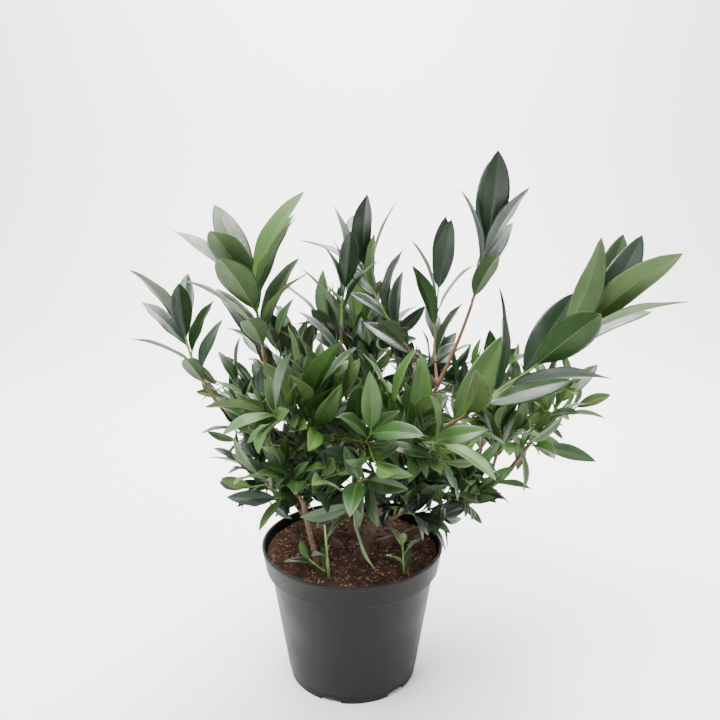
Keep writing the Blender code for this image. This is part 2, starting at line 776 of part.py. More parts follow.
def make_limb(name, limbs, stubs, collection, finish):
    """A tapering limb; one that forks keeps a stub for each limb that leaves it."""
    path, thick, thin = limbs[name]
    rooted = name in LIMBS and LIMBS[name].parent == "soil"
    radii = limb_radii(path, thick, thin, rooted)
    if rooted:
        path = np.concatenate([[path[0] - unit(path[1] - path[0]) * ROOT_DEPTH], path])
        radii = np.concatenate([radii[:1], radii])
    forked = name in stubs
    rings = LIMB_RINGS if forked else BOUGH_RINGS
    limb = tube(name, path, radii, collection, rings=rings)
    limb.data.materials.append(finish)
    if not forked:
        return limb
    pieces = [as_mesh(limb, collection)]
    if rooted:
        cut_at_soil(pieces[0].data)
    for stub, radius in stubs[name]:
        piece = tube("stub", stub, [radius] * len(stub), collection, rings=BOUGH_RINGS)
        pieces.append(as_mesh(piece, collection))
    return fuse(name, pieces, collection, finish)


def make_mass(name, twigs, thick, leaves, section, collection, finish):
    """A mass of foliage: three-sided twigs with every leaf's root sunk to its twig's axis."""
    pieces = []
    for k, path in enumerate(twigs):
        base = thick * (SIDE_TWIG if k else 1.0)
        marks = lengths(path) / lengths(path)[-1]
        twig = tube("twig", path, base * (1 - (1 - TWIG_TIP) * marks), collection, section=section)
        pieces.append(as_mesh(twig, collection))
    pieces += [leaf_solid(leaf, collection) for leaf in leaves]
    return fuse(name, pieces, collection, finish)


def twig_section(collection):
    """The three-sided section that twigs are drawn along, clockwise so that they face out."""
    curve = bpy.data.curves.new("twig_section", "CURVE")
    spline = curve.splines.new("POLY")
    spline.points.add(2)
    for k, point in enumerate(spline.points):
        turn = -math.tau * k / 3
        point.co = (math.cos(turn) * MM, math.sin(turn) * MM, 0.0, 1.0)
    spline.use_cyclic_u = True
    made = bpy.data.objects.new("twig_section", curve)
    made.hide_render = True
    made.display_type = "WIRE"
    collection.objects.link(made)
    return made


def main():
    for old in list(bpy.data.objects):
        bpy.data.objects.remove(old)
    scene = bpy.context.scene.collection
    plant = bpy.data.collections.new("potted_cherry_laurel")
    cutters = bpy.data.collections.new("notch_cutters")
    guides = bpy.data.collections.new("guides")
    for collection in (plant, cutters, guides):
        scene.children.link(collection)

    plastic = material("pot_plastic", (0.035, 0.037, 0.040), 0.55)
    compost = material("compost", (0.10, 0.035, 0.018), 0.95)
    bark = material("bark", (0.14, 0.075, 0.05), 0.85)
    foliage = material("laurel_green", (0.05, 0.14, 0.035), 0.4)

    make_pot(plant, cutters, plastic)
    make_soil(plant, compost)
    limbs, stubs, masses = grow()
    for name in limbs:
        make_limb(name, limbs, stubs, plant, bark)
    section = twig_section(guides)
    for name, (twigs, thick, leaves, wanted) in masses.items():
        make_mass("foliage_" + name, twigs, thick, leaves, section, plant, foliage)
    bpy.data.objects.remove(section)
    bpy.data.collections.remove(guides)


if __name__ == "__main__":
    main()
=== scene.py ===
"""Looks of the potted cherry laurel. Metres, +Z up, -Y is the side the photograph shows.

The plant is grown again by the seeded rule that grew its solids, so every limb and leaf keeps
its place. Finer twigs and leaves then fill the masses, and each part gets its finished mesh.
"""

import json
import math
import random
from collections import namedtuple

import bmesh
import bpy
import numpy as np
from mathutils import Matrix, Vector, noise
from mathutils.bvhtree import BVHTree

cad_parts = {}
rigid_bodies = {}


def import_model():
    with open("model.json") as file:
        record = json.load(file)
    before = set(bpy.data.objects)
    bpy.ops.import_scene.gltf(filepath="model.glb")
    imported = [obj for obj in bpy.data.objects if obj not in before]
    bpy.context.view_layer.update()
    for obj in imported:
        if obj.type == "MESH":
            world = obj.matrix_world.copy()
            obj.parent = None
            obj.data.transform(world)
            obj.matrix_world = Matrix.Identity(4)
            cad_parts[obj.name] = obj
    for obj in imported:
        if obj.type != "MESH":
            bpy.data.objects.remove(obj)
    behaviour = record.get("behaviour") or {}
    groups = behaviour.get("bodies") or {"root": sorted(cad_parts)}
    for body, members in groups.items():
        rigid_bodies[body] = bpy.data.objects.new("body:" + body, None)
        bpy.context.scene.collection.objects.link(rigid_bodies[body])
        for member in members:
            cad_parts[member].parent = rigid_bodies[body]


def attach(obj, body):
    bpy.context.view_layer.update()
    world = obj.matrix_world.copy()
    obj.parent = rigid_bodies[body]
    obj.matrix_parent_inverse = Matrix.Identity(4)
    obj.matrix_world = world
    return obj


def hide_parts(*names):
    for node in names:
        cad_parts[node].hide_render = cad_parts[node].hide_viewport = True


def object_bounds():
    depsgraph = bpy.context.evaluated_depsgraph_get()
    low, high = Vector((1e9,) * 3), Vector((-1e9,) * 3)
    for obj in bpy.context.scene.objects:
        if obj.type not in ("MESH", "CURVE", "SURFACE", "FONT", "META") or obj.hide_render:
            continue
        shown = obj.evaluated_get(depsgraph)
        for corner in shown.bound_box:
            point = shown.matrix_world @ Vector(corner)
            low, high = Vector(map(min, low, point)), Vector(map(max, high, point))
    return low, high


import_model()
cad_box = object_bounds()

MM = 0.001
GAP = 0.3 * MM
WELD = 0.01 * MM

# Pot: a tapered wall under a deep collar
POT_HEIGHT = 173.7 * MM
RIM_RADIUS = 112.3 * MM
COLLAR_FOOT_RADIUS = 107.5 * MM
COLLAR_HEIGHT = 29 * MM
WALL_TOP_RADIUS = 102 * MM
WALL_FOOT_RADIUS = 82.3 * MM
FOOT_STEP = 1.2 * MM
FOOT_BAND = 11 * MM
WALL = 2.2 * MM
LIP = 3 * MM
LIP_DEPTH = 4 * MM
LIP_ROUND = 0.8 * MM
LEDGE_RISE = 2 * MM
FLOOR = 7 * MM

# Foot notches: six drainage channels under the edge
NOTCHES = 6
NOTCH_FIRST = -18.5
NOTCH_ANGLE = 17.5
NOTCH_HEIGHT = 5 * MM
NOTCH_DEPTH = 14 * MM

# Soil: level where the stems stand, a little lower at the pot's wall
SOIL_LEVEL = 165 * MM
SOIL_FLAT_RADIUS = 88 * MM
SOIL_EDGE_DROP = 3 * MM

# Leaf: lance-shaped, folded up along the midrib and bent back at the tip
LEAF_WIDTH = 0.28
LEAF_THICK = 0.018
LEAF_FOLD = 0.16
LEAF_CURL = 0.05
LEAF_RISE = 0.16
FACE_UP_STEM = 0.75
LEAST_FACE = 0.08

# Leaves up a shoot: the turn from one to the next, the crowding towards the tip, the lowest
# leaf's size, and how far size, azimuth, opening and roll vary
DIVERGENCE = 144.0
CROWDING = 1.5
LAST_LEAF = 0.995
LOWEST_SIZE = 0.82
SIZE_SPREAD = 0.08
AZIMUTH_SPREAD = 10.0
OPENING_SPREAD = 4.0
ROLL_SPREAD = 16.0

# Clear room that a mass keeps: half way to its neighbours, round limbs, rim and soil
SPACE_MARGIN = 1.6 * MM
LIMB_MARGIN = 1.6 * MM
SOIL_MARGIN = 3.2 * MM
RIM_INSIDE = 12 * MM
RIM_OUTSIDE = 3 * MM
BLADE_CLEAR = 0.5 * MM

# Side shoots: places along the leader, turn from one to the next, spread, lift and sag,
# their reach at the leader's foot and the loss towards its tip, and the lengths that are tried
LEADER_BARE = 0.04
SIDE_FIRST = 0.08
SIDE_LAST = 0.70
SIDE_TURN = 137.5
SIDE_AHEAD = 70.0
SIDE_SPREAD = (44.0, 58.0)
SIDE_RISE = 0.18
SIDE_SAG = 0.06
SIDE_POINTS = 4
SIDE_PROBES = 13
SIDE_REACH = 1.1
SIDE_REACH_LOSS = 0.5
SIDE_REACH_SPREAD = (0.85, 1.1)
SIDE_EASES = (1.0, 0.75, 0.5)
SIDE_BARE = 0.22
SIDE_LEAF = 0.86
SIDE_LOW_OPENING = 6.0
SIDE_TOP_OPENING = 4.0
SIDE_PHASE = 60.0

# Limbs: a bough is parted from its parent's stub where it stands clear of its neighbours
AXIS_POINTS = 7
STUB_CLEAR = 1.5 * MM
SHORTEST_STUB = 4 * MM
LONGEST_STUB = 60 * MM
SHORTEST_BOUGH = 12 * MM
BOUGH_TAPER = 0.22
FLARE = 0.42
FLARE_LENGTH = 11 * MM
SIDE_TWIG = 0.72

# A leaf that has no room folds nearer its twig, turns round it (degrees) or shrinks
TRIES = (
    (1.0, 1.0, 0), (0.7, 1.0, 0), (1.0, 1.0, 25), (1.0, 1.0, -25), (0.45, 1.0, 0), (0.8, 0.82, 0),
    (0.8, 0.82, 35), (0.8, 0.82, -35), (0.45, 0.82, 0), (0.8, 0.82, 70), (0.8, 0.82, -70),
    (0.8, 0.65, 0), (0.4, 0.65, 0), (0.8, 0.65, 60), (0.8, 0.65, -60), (1.0, 0.6, 110),
    (1.0, 0.6, -110),
)

UP = np.array([0.0, 0.0, 1.0])
RIGHT = np.array([1.0, 0.0, 0.0])
LEAST_ACROSS = 0.05

# Limbs that fork: name, parent, place on it, end, bow, radius at each end (mm).
# A limb whose parent is the soil starts there; its place is then a point on the soil.
Limb = namedtuple("Limb", "parent place end bow thick thin")
LIMBS = {
    "trunk": Limb("soil", (12, -25), (47, -10, 287), (3, -9, 2), 6.6, 4.4),
    "stem_left": Limb("soil", (-20, 2), (-95, -20, 290), (-16, 8, -14), 5.0, 3.4),
    "stem_right": Limb("soil", (38, 6), (196, 14, 262), (14, 10, -22), 5.0, 3.2),
    "stem_back": Limb("soil", (0, 36), (4, 92, 282), (0, 22, -10), 5.0, 3.4),
    "stem_front": Limb("soil", (-37, -65), (-54, -75, 258), (-2, -2, 0), 3.4, 2.6),
    "bough_centre": Limb("trunk", 1.0, (105, 30, 366), (6, 2, -10), 3.6, 2.8),
}

# Leafy shoots: a bare bough, then the mass of foliage that goes on from its tip.
# bare is the bough's share of the length; side shoots and leaves follow by rule (mm, degrees).
Shoot = namedtuple(
    "Shoot", "parent place end bow bare thick leaves leaf low top phase sides reach side_leaves"
)
SHOOTS = {
    "far_left": Shoot(
        "stem_left", 1.0, (-192, -14, 440), (-40, 12, -3),
        0.50, 2.8, 8, 90, 58, 40, 270, 0, 0, 0,
    ),
    "left_tall": Shoot(
        "stem_left", 1.0, (-102, -86, 501), (11, -18, 20),
        0.54, 3.0, 13, 115, 48, 44, 55, 0, 0, 0,
    ),
    "left_inner": Shoot(
        "trunk", 0.4, (-6, -15, 503), (-40, 36, 40),
        0.54, 2.6, 8, 94, 42, 22, 155, 0, 0, 0,
    ),
    "centre_tall": Shoot(
        "bough_centre", 1.0, (12, 14, 514), (-14, -28, -5),
        0.26, 2.6, 11, 96, 48, 46, 105, 0, 0, 0,
    ),
    "centre_right": Shoot(
        "bough_centre", 1.0, (112, 104, 486), (-7, 15, -21),
        0.22, 2.4, 8, 95, 34, 24, 45, 0, 0, 0,
    ),
    "top_right": Shoot(
        "bough_centre", 1.0, (159, 24, 544), (15, 8, -3),
        0.52, 2.4, 7, 106, 38, 12, 100, 0, 0, 0,
    ),
    "right_big": Shoot(
        "trunk", 1.0, (236, -107, 462), (-16, -31, -15),
        0.18, 2.8, 14, 133, 50, 24, 160, 0, 0, 0,
    ),
    "right_far": Shoot(
        "stem_right", 1.0, (252, -8, 364), (-1, 6, -8),
        0.24, 2.8, 7, 61, 30, 42, 240, 4, 41, 4,
    ),
    "right_mid": Shoot(
        "stem_right", 0.8, (188, 0, 330), (-8, -18, 0),
        0.20, 2.6, 10, 94, 62, 30, 270, 4, 56, 4,
    ),
    "right_low": Shoot(
        "stem_right", 0.5, (142, -24, 270), (-4, -6, -6),
        0.0, 2.4, 8, 69, 66, 36, 270, 4, 60, 4,
    ),
    "left_low": Shoot(
        "stem_left", 0.95, (-102, -54, 338), (2, -9, -4),
        0.22, 2.6, 8, 68, 52, 30, 270, 3, 42, 4,
    ),
    "left_under": Shoot(
        "stem_left", 0.5, (-106, -44, 284), (-14, 0, -10),
        0.0, 2.4, 8, 66, 46, 30, 235, 3, 48, 4,
    ),
    "left_front": Shoot(
        "stem_left", 0.88, (-46, -80, 376), (11, -14, -10),
        0.32, 2.8, 10, 98, 50, 38, 120, 4, 69, 4,
    ),
    "front_mid": Shoot(
        "trunk", 0.62, (6, -96, 354), (6, -23, -4),
        0.30, 2.4, 6, 91, 50, 28, 115, 4, 72, 4,
    ),
    "front_right": Shoot(
        "trunk", 0.95, (70, -82, 346), (-5, -22, -6),
        0.22, 2.6, 9, 91, 52, 28, 55, 4, 76, 4,
    ),
    "front_low": Shoot(
        "stem_front", 1.0, (-58, -108, 298), (-7, 5, 0),
        0.0, 2.4, 8, 73, 48, 36, 250, 3, 60, 4,
    ),
    "back_left": Shoot(
        "stem_back", 0.8, (-90, 129, 382), (-24, 11, -10),
        0.30, 2.8, 9, 90, 64, 14, 130, 4, 78, 4,
    ),
    "back_mid": Shoot(
        "stem_back", 1.0, (11, 134, 424), (-3, 10, -4),
        0.25, 2.8, 10, 106, 44, 18, 80, 4, 75, 4,
    ),
    "back_right": Shoot(
        "stem_back", 0.9, (110, 122, 368), (15, 22, -10),
        0.30, 2.8, 10, 85, 46, 14, 10, 4, 64, 4,
    ),
    "back_far_left": Shoot(
        "stem_left", 0.75, (-126, 70, 340), (-11, 7, -8),
        0.30, 2.6, 8, 82, 40, 28, 330, 4, 81, 4,
    ),
    "back_far_right": Shoot(
        "stem_right", 0.65, (178, 82, 347), (9, 12, -8),
        0.30, 2.6, 7, 96, 58, 22, 210, 4, 75, 4,
    ),
    "middle": Shoot(
        "trunk", 0.85, (21, 40, 386), (-12, 22, 0),
        0.30, 2.4, 6, 75, 46, 14, 20, 4, 58, 4,
    ),
    "inner_left": Shoot(
        "stem_left", 0.4, (-38, 42, 290), (0, 11, 0),
        0.0, 2.4, 6, 88, 60, 44, 135, 4, 69, 4,
    ),
    "inner_right": Shoot(
        "stem_right", 0.3, (116, 38, 268), (-3, 2, -6),
        0.0, 2.4, 6, 94, 50, 32, 240, 4, 63, 4,
    ),
    "inner_front": Shoot(
        "trunk", 0.3, (82, -50, 262), (19, 10, -8),
        0.0, 2.4, 8, 80, 48, 38, 255, 4, 46, 4,
    ),
    "inner_low": Shoot(
        "stem_left", 0.3, (-54, -22, 258), (-3, 2, 0),
        0.0, 2.4, 7, 79, 64, 38, 20, 3, 56, 4,
    ),
    "sprout_left": Shoot(
        "soil", (-26, -80), (-31, -92, 262), (0, -2, 0),
        0.0, 1.8, 6, 44, 60, 34, 30, 1, 26, 3,
    ),
    "sprout_right": Shoot(
        "soil", (60, -70), (58, -76, 206), (0, 0, 0),
        0.0, 1.4, 5, 42, 60, 30, 0, 0, 0, 0,
    ),
}
PLAN = {**LIMBS, **SHOOTS}
Mass = namedtuple("Mass", "twigs thick leaves")


def unit(vector):
    return vector / np.linalg.norm(vector)


def bend(start, end, bow, count):
    """Points of one smooth curve from start to end, drawn aside by bow."""
    t = np.linspace(0.0, 1.0, count)[:, None]
    control = (start + end) / 2 + bow
    return (1 - t) ** 2 * start + 2 * t * (1 - t) * control + t ** 2 * end


def lengths(path):
    """Length along the path up to each of its points."""
    steps = np.linalg.norm(np.diff(path, axis=0), axis=1)
    return np.concatenate([[0.0], np.cumsum(steps)])


def walk(path, distance):
    """Point and direction at a distance along the path."""
    marks = lengths(path)
    k = int(np.clip(np.searchsorted(marks, distance, side="right") - 1, 0, len(path) - 2))
    along = unit(path[k + 1] - path[k])
    return path[k] + along * (distance - marks[k]), along


def stretch(path, begin, finish):
    """The part of the path between two distances."""
    marks = lengths(path)
    inner = [p for p, m in zip(path, marks) if begin + WELD < m < finish - WELD]
    return np.array([walk(path, begin)[0]] + inner + [walk(path, finish)[0]])


def sideways(along, azimuth):
    """A unit vector across a stem, turned round it by azimuth degrees from its upper side."""
    across = np.cross(along, UP)
    across = unit(across) if np.linalg.norm(across) > LEAST_ACROSS else RIGHT
    above = np.cross(across, along)
    a = math.radians(azimuth)
    return above * math.cos(a) + across * math.sin(a)


def on_soil(place):
    return np.array([place[0] * MM, place[1] * MM, SOIL_LEVEL + GAP])


def first_middle(path, distance):
    """The middle of the first straight piece at or past a distance, where a cut is square."""
    marks = lengths(path)
    middles = (marks[:-1] + marks[1:]) / 2
    return float(middles[min(np.searchsorted(middles, distance), len(middles) - 1)])


def fork_cut(name, axes, radii, parents):
    """Where a limb is cut from its parent's stub: clear of the parent and of its other limbs."""
    axis = axes[name]
    others = [other for other in axes if other != name and parents[other] == parents[name]]
    others.append(parents[name])
    clear = 0.0
    for distance in np.arange(SHORTEST_STUB, LONGEST_STUB, MM):
        spot = walk(axis, distance)[0][None, :]
        clear = distance
        if all(
            distance_to(spot, axes[other][:-1], axes[other][1:]).min()
            > radii[name] + radii[other] + STUB_CLEAR
            for other in others
        ):
            break
    return first_middle(axis, clear)


def limb_axes():
    """The whole curve of every limb and shoot, from its parent's middle to its own end."""
    axes = {}
    for name, limb in PLAN.items():
        if limb.parent == "soil":
            start = on_soil(limb.place)
        else:
            start = walk(axes[limb.parent], lengths(axes[limb.parent])[-1] * limb.place)[0]
        axes[name] = bend(start, np.array(limb.end) * MM, np.array(limb.bow) * MM, AXIS_POINTS)
    return axes


def plan_limbs():
    """Path and radii of every limb, each limb's stubs, and the leader of each mass."""
    axes = limb_axes()
    radii = {name: limb.thick * MM for name, limb in PLAN.items()}
    parents = {name: limb.parent for name, limb in PLAN.items()}
    limbs, stubs, leaders = {}, {}, {}
    for name, limb in PLAN.items():
        axis = axes[name]
        total = lengths(axis)[-1]
        begin = 0.0
        if limb.parent != "soil":
            cut = fork_cut(name, axes, radii, parents)
            stubs.setdefault(limb.parent, []).append((stretch(axis, 0.0, cut), radii[name]))
            begin = cut + GAP
        if name in LIMBS:
            limbs[name] = (stretch(axis, begin, total), radii[name], limb.thin * MM)
        elif limb.bare:
            finish = first_middle(axis, max(total * limb.bare, begin + SHORTEST_BOUGH))
            thin = radii[name] * (1 - BOUGH_TAPER)
            limbs["bough_" + name] = (stretch(axis, begin, finish), radii[name], thin)
            leaders[name] = (stretch(axis, finish + GAP, total), thin)
        else:
            leaders[name] = (stretch(axis, begin, total), radii[name])
    return limbs, stubs, leaders


def segments_of(paths):
    starts = np.concatenate([p[:-1] for p in paths])
    ends = np.concatenate([p[1:] for p in paths])
    return starts, ends


def distance_to(points, starts, ends):
    """Distance from each point to each segment."""
    run = ends - starts
    rel = points[:, None, :] - starts[None, :, :]
    share = np.clip((rel * run).sum(2) / (run * run).sum(1), 0.0, 1.0)
    return np.linalg.norm(rel - share[..., None] * run[None], axis=2)


class Space:
    """Which mass each point belongs to: the one whose twigs are nearest."""

    def __init__(self, twigs, limbs, stubs):
        self.starts, self.ends, self.owner = [], [], []
        for name, paths in twigs.items():
            starts, ends = segments_of(paths)
            self.starts.append(starts)
            self.ends.append(ends)
            self.owner += [name] * len(starts)
        self.starts = np.concatenate(self.starts)
        self.ends = np.concatenate(self.ends)
        self.owner = np.array(self.owner)
        wood = [(path, thick) for path, thick, thin in limbs.values()]
        for forks in stubs.values():
            wood += forks
        self.limb_starts, self.limb_ends = segments_of([path for path, radius in wood])
        self.limb_radius = np.concatenate([np.full(len(path) - 1, radius) for path, radius in wood])

    def clear(self, points, radius=0.0):
        """Whether points, or the axis of a twig of some radius, miss soil, rim and limbs."""
        low = points[points[:, 2] < POT_HEIGHT + LIMB_MARGIN]
        reach = np.hypot(low[:, 0], low[:, 1])
        over_rim = (reach > RIM_RADIUS - RIM_INSIDE) & (reach < RIM_RADIUS + RIM_OUTSIDE)
        in_soil = (reach < RIM_RADIUS) & (low[:, 2] < SOIL_LEVEL + SOIL_MARGIN)
        if over_rim.any() or in_soil.any():
            return False
        limb = distance_to(points, self.limb_starts, self.limb_ends) - self.limb_radius
        return bool(limb.min() >= LIMB_MARGIN + radius)

    def holds(self, name, points, radius=0.0):
        """Whether points of a mass, or the axis of a twig of some radius, keep to its space."""
        if not self.clear(points, radius):
            return False
        gaps = distance_to(points, self.starts, self.ends)
        own = self.owner == name
        margin = SPACE_MARGIN + radius
        return bool((gaps[:, own].min(1) + margin < gaps[:, ~own].min(1)).all())


Leaf = namedtuple("Leaf", "root along normal length")


def leaf_points(leaf, outline, width=LEAF_WIDTH):
    """Points of the blade at (share of length, share of half width, share of half thickness)."""
    across = np.cross(leaf.along, leaf.normal)
    points = []
    for t, w, h in outline:
        lift = LEAF_FOLD * abs(w) * width + LEAF_CURL * 4 * t * (1 - t) + h * LEAF_THICK / 2
        points.append(
            leaf.root
            + leaf.along * leaf.length * t
            + across * leaf.length * width * 0.5 * w
            + leaf.normal * leaf.length * lift
        )
    return np.array(points)


# Points round the blade that are tested against the mass's space
PROBES = (
    (1.0, 0, 0), (0.85, 0, 0), (0.7, 0.85, 0), (0.7, -0.85, 0), (0.5, 1, 0), (0.5, -1, 0),
    (0.3, 0.85, 0), (0.3, -0.85, 0), (0.2, 0, 0),
)
# Corners of the blade past its root, which is where two leaves may not cross
CORNERS = (
    (0.14, 0, 0), (0.3, -0.9, 0), (0.68, -0.92, 0), (1, 0, 0), (0.68, 0.92, 0), (0.3, 0.9, 0),
)
CORNER_FACES = [(0, 1, 2, 3), (0, 3, 4, 5)]


def blade_of(leaf):
    """The blade past its root, to test whether two leaves cross."""
    corners = [Vector(point) for point in leaf_points(leaf, CORNERS)]
    return BVHTree.FromPolygons(corners, CORNER_FACES, epsilon=BLADE_CLEAR)


def leaves_on(path, count, size, low, top, phase, first, rng):
    """Leaves in turn up a shoot, closer together and more upright towards its tip."""
    total = lengths(path)[-1]
    wanted = []
    for k in range(count):
        share = k / max(count - 1, 1)
        crowded = 1 - (1 - share) ** CROWDING
        root, along = walk(path, total * (first + (LAST_LEAF - first) * crowded))
        azimuth = phase + DIVERGENCE * k + rng.uniform(-AZIMUTH_SPREAD, AZIMUTH_SPREAD)
        opening = low + (top - low) * share + rng.uniform(-OPENING_SPREAD, OPENING_SPREAD)
        length = size * (LOWEST_SIZE + (1 - LOWEST_SIZE) * share)
        length *= rng.uniform(1 - SIZE_SPREAD, 1 + SIZE_SPREAD)
        roll = rng.uniform(-ROLL_SPREAD, ROLL_SPREAD)
        wanted.append((root, along, azimuth, opening, length, roll))
    return wanted


def place_leaf(root, along, azimuth, opening, length, roll):
    """One leaf that leaves its twig at the opening angle and turns its face up the stem."""
    out = sideways(along, azimuth)
    a = math.radians(opening)
    aim = unit(along * math.cos(a) + out * math.sin(a) + UP * LEAF_RISE)
    face = unit(along * FACE_UP_STEM + UP * (1 - FACE_UP_STEM))
    normal = face - aim * face.dot(aim)
    if np.linalg.norm(normal) < LEAST_FACE:
        normal = -out
    normal = unit(normal - aim * normal.dot(aim))
    turn = math.radians(roll)
    normal = normal * math.cos(turn) + np.cross(aim, normal) * math.sin(turn)
    return Leaf(root, aim, normal, length)


def fit_leaf(wanted, fits, crossed):
    """The first try at a wanted leaf that fits its room and crosses no other, with its blade."""
    root, along, azimuth, opening, length, roll = wanted
    for fold, shrink, turn in TRIES:
        leaf = place_leaf(root, along, azimuth + turn, opening * fold, length * shrink, roll)
        if fits(leaf_points(leaf, PROBES)):
            blade = blade_of(leaf)
            if not crossed(leaf, blade):
                return leaf, blade
    return None


def grow():
    """Every limb, and for each mass its twigs and the leaves that fit its own space."""
    limbs, stubs, leaders = plan_limbs()
    twigs = {name: [leader[0]] for name, leader in leaders.items()}
    space = Space(twigs, limbs, stubs)
    sides = {name: [] for name in SHOOTS}
    for name, shoot in SHOOTS.items():
        rng = random.Random(name)
        path, thick = leaders[name]
        total = lengths(path)[-1]
        for i in range(shoot.sides):
            share = SIDE_FIRST + (SIDE_LAST - SIDE_FIRST) * i / max(shoot.sides - 1, 1)
            root, along = walk(path, total * share)
            out = sideways(along, shoot.phase + SIDE_AHEAD + SIDE_TURN * i)
            spread = math.radians(rng.uniform(*SIDE_SPREAD))
            aim = unit(along * math.cos(spread) + out * math.sin(spread) + UP * SIDE_RISE)
            reach = shoot.reach * MM * (SIDE_REACH - SIDE_REACH_LOSS * share)
            reach *= rng.uniform(*SIDE_REACH_SPREAD)
            for ease in SIDE_EASES:
                end = root + aim * reach * ease
                sag = UP * -SIDE_SAG * reach * ease
                probes = bend(root, end, sag, SIDE_PROBES)[2:]
                if space.holds(name, probes, thick * SIDE_TWIG):
                    sides[name].append(bend(root, end, sag, SIDE_POINTS))
                    break
    for name in SHOOTS:
        twigs[name] = twigs[name] + sides[name]
    space = Space(twigs, limbs, stubs)
    masses = {}
    for name, shoot in SHOOTS.items():
        rng = random.Random(name + " leaves")
        size = shoot.leaf * MM
        low, top, phase = shoot.low, shoot.top, shoot.phase
        wanted = leaves_on(twigs[name][0], shoot.leaves, size, low, top, phase, LEADER_BARE, rng)
        low += SIDE_LOW_OPENING
        top += SIDE_TOP_OPENING
        for side in sides[name]:
            wanted += leaves_on(
                side, shoot.side_leaves, size * SIDE_LEAF, low, top, phase, SIDE_BARE, rng
            )
            phase += SIDE_PHASE
        leaves, blades = [], []
        for spec in wanted:
            found = fit_leaf(
                spec,
                lambda points: space.holds(name, points),
                lambda leaf, blade: any(blade.overlap(other) for other in blades),
            )
            if found:
                leaves.append(found[0])
                blades.append(found[1])
        masses[name] = Mass(twigs[name], leaders[name][1], leaves)
    return limbs, stubs, masses


# Finished leaf: the stalk's share of its length, and its grid from root to tip and edge to edge
PETIOLE = 0.075
ROWS = (
    0.0, 0.035, 0.07, 0.095, 0.14, 0.20, 0.27, 0.35, 0.43, 0.52, 0.61, 0.70, 0.79, 0.87, 0.94, 1.0,
)
COLUMNS = (-1.0, -0.84, -0.56, -0.28, -0.06, 0.06, 0.28, 0.56, 0.84, 1.0)

# Its half width is HALF_BLADE times BLADE_SCALE * share ** ROOT_POWER * (1 - share) ** TIP_POWER
# of its length, by a factor from BROAD, and TIP_HALF at least
HALF_BLADE = 0.5 * LEAF_WIDTH
BLADE_SCALE, ROOT_POWER, TIP_POWER = 3.02, 0.75, 0.85
BROAD = (0.96, 1.14)
TIP_HALF = 0.22 * MM

# Its thickness: the stalk's half width, taper and depth, the blade's, what the root adds and how
# fast that fades, and the edge's share
STALK_RADIUS, STALK_TAPER, STALK_THICK = 1.15 * MM, 0.35, 1.9 * MM
BLADE_THICK, ROOT_THICK, ROOT_FADE, EDGE_THICK = 0.55 * MM, 1.2 * MM, 26, 0.35

# Its midrib: half width, its factor at the root, the loss to the tip and the most as a share of
# the blade's, then its depth, how that fades, and how much of it each face has
RIB, RIB_ROOT, RIB_LOSS, RIB_MOST = 0.42 * MM, 1.05, 0.7, 0.3
RIB_DEPTH, RIB_FADE, RIB_UPPER, RIB_UNDER = 0.55 * MM, 0.75, 0.5, 1.5

# How leaves vary: fold (degrees), waves along an edge and their height, droop and sideways
# swing as shares of the length. Fold and waves ease off where it is narrower than FULL_HALF.
FOLD, FOLD_EASE = (12, 26), 0.35
WAVES, RIPPLE, RIPPLE_HEIGHT, RIPPLE_SHIFT = (1.6, 2.8), (0.3, 1.0), 0.012, 1.3
DROOP, DROOP_POWER, SWING = (0.01, 0.07), 3.2, (-0.05, 0.05)
FULL_HALF = 6 * MM

# The tone of each leafy shoot, from old and dark to young and bright, and the finishes it mixes. The
# inner shoots get painted shade: their leaves are darkened for the shade inside the crown
TONES = {
    "far_left": "dark", "left_tall": "mid", "left_inner": "dark", "centre_tall": "dark",
    "centre_right": "dark", "top_right": "dark", "right_big": "mid", "right_far": "fresh",
    "right_mid": "fresh", "right_low": "mid", "left_low": "mid", "left_under": "dark",
    "left_front": "fresh", "front_mid": "mid", "front_right": "fresh", "front_low": "mid",
    "back_left": "dark", "back_mid": "mid", "back_right": "dark", "back_far_left": "mid",
    # The inner shoots take painted shade: leaves darkened for the shade inside the crown
    "back_far_right": "fresh", "middle": "dark", "inner_left": "painted_shade", "inner_right": "painted_shade",
    "inner_front": "painted_shade", "inner_low": "painted_shade", "sprout_left": "fresh", "sprout_right": "fresh",
}
MIXES = {
    # Painted shade mixes mostly shade-darkened leaves with some dark ones
    "painted_shade": ("painted_shade", "painted_shade", "dark"), "dark": ("dark", "dark", "dark", "mid"),
    "mid": ("mid", "dark", "mid", "fresh"), "fresh": ("fresh", "mid", "fresh"),
}
# Share of a shoot's leaves that show their dark side where they would face the back
TURNED_SHARE = 0.3
TURNED = {
    "far_left": 0.8, "left_inner": 0.9, "centre_tall": 0.8, "centre_right": 0.9, "top_right": 0.8,
    "right_big": 0.35, "left_tall": 0.1, "left_under": 0.5, "right_low": 0.4, "right_mid": 0.4,
}
GROUPS = {
    "left": ("far_left", "left_tall", "left_low", "left_under", "back_far_left"),
    "centre": ("left_inner", "centre_tall", "centre_right", "top_right", "middle"),
    "right": ("right_big", "right_far", "right_mid", "right_low", "back_far_right"),
    "front": (
        "left_front", "front_mid", "front_right", "front_low", "sprout_left", "sprout_right",
    ),
    "back": ("back_left", "back_mid", "back_right"),
    "inner": ("inner_left", "inner_right", "inner_front", "inner_low"),
}

# Finer twigs on a mass's leader and on each of its side twigs
FINER = {
    "left_low": (3, 2), "left_under": (3, 2), "left_front": (3, 2), "front_mid": (4, 2),
    "front_right": (4, 2), "front_low": (4, 2), "right_mid": (4, 2), "right_low": (3, 2),
    "right_far": (1, 1), "back_left": (3, 2), "back_mid": (3, 2), "back_right": (3, 2),
    "back_far_left": (3, 2), "back_far_right": (3, 2), "middle": (4, 2), "inner_left": (5, 3),
    "inner_right": (5, 3), "inner_front": (5, 3), "inner_low": (5, 3),
}
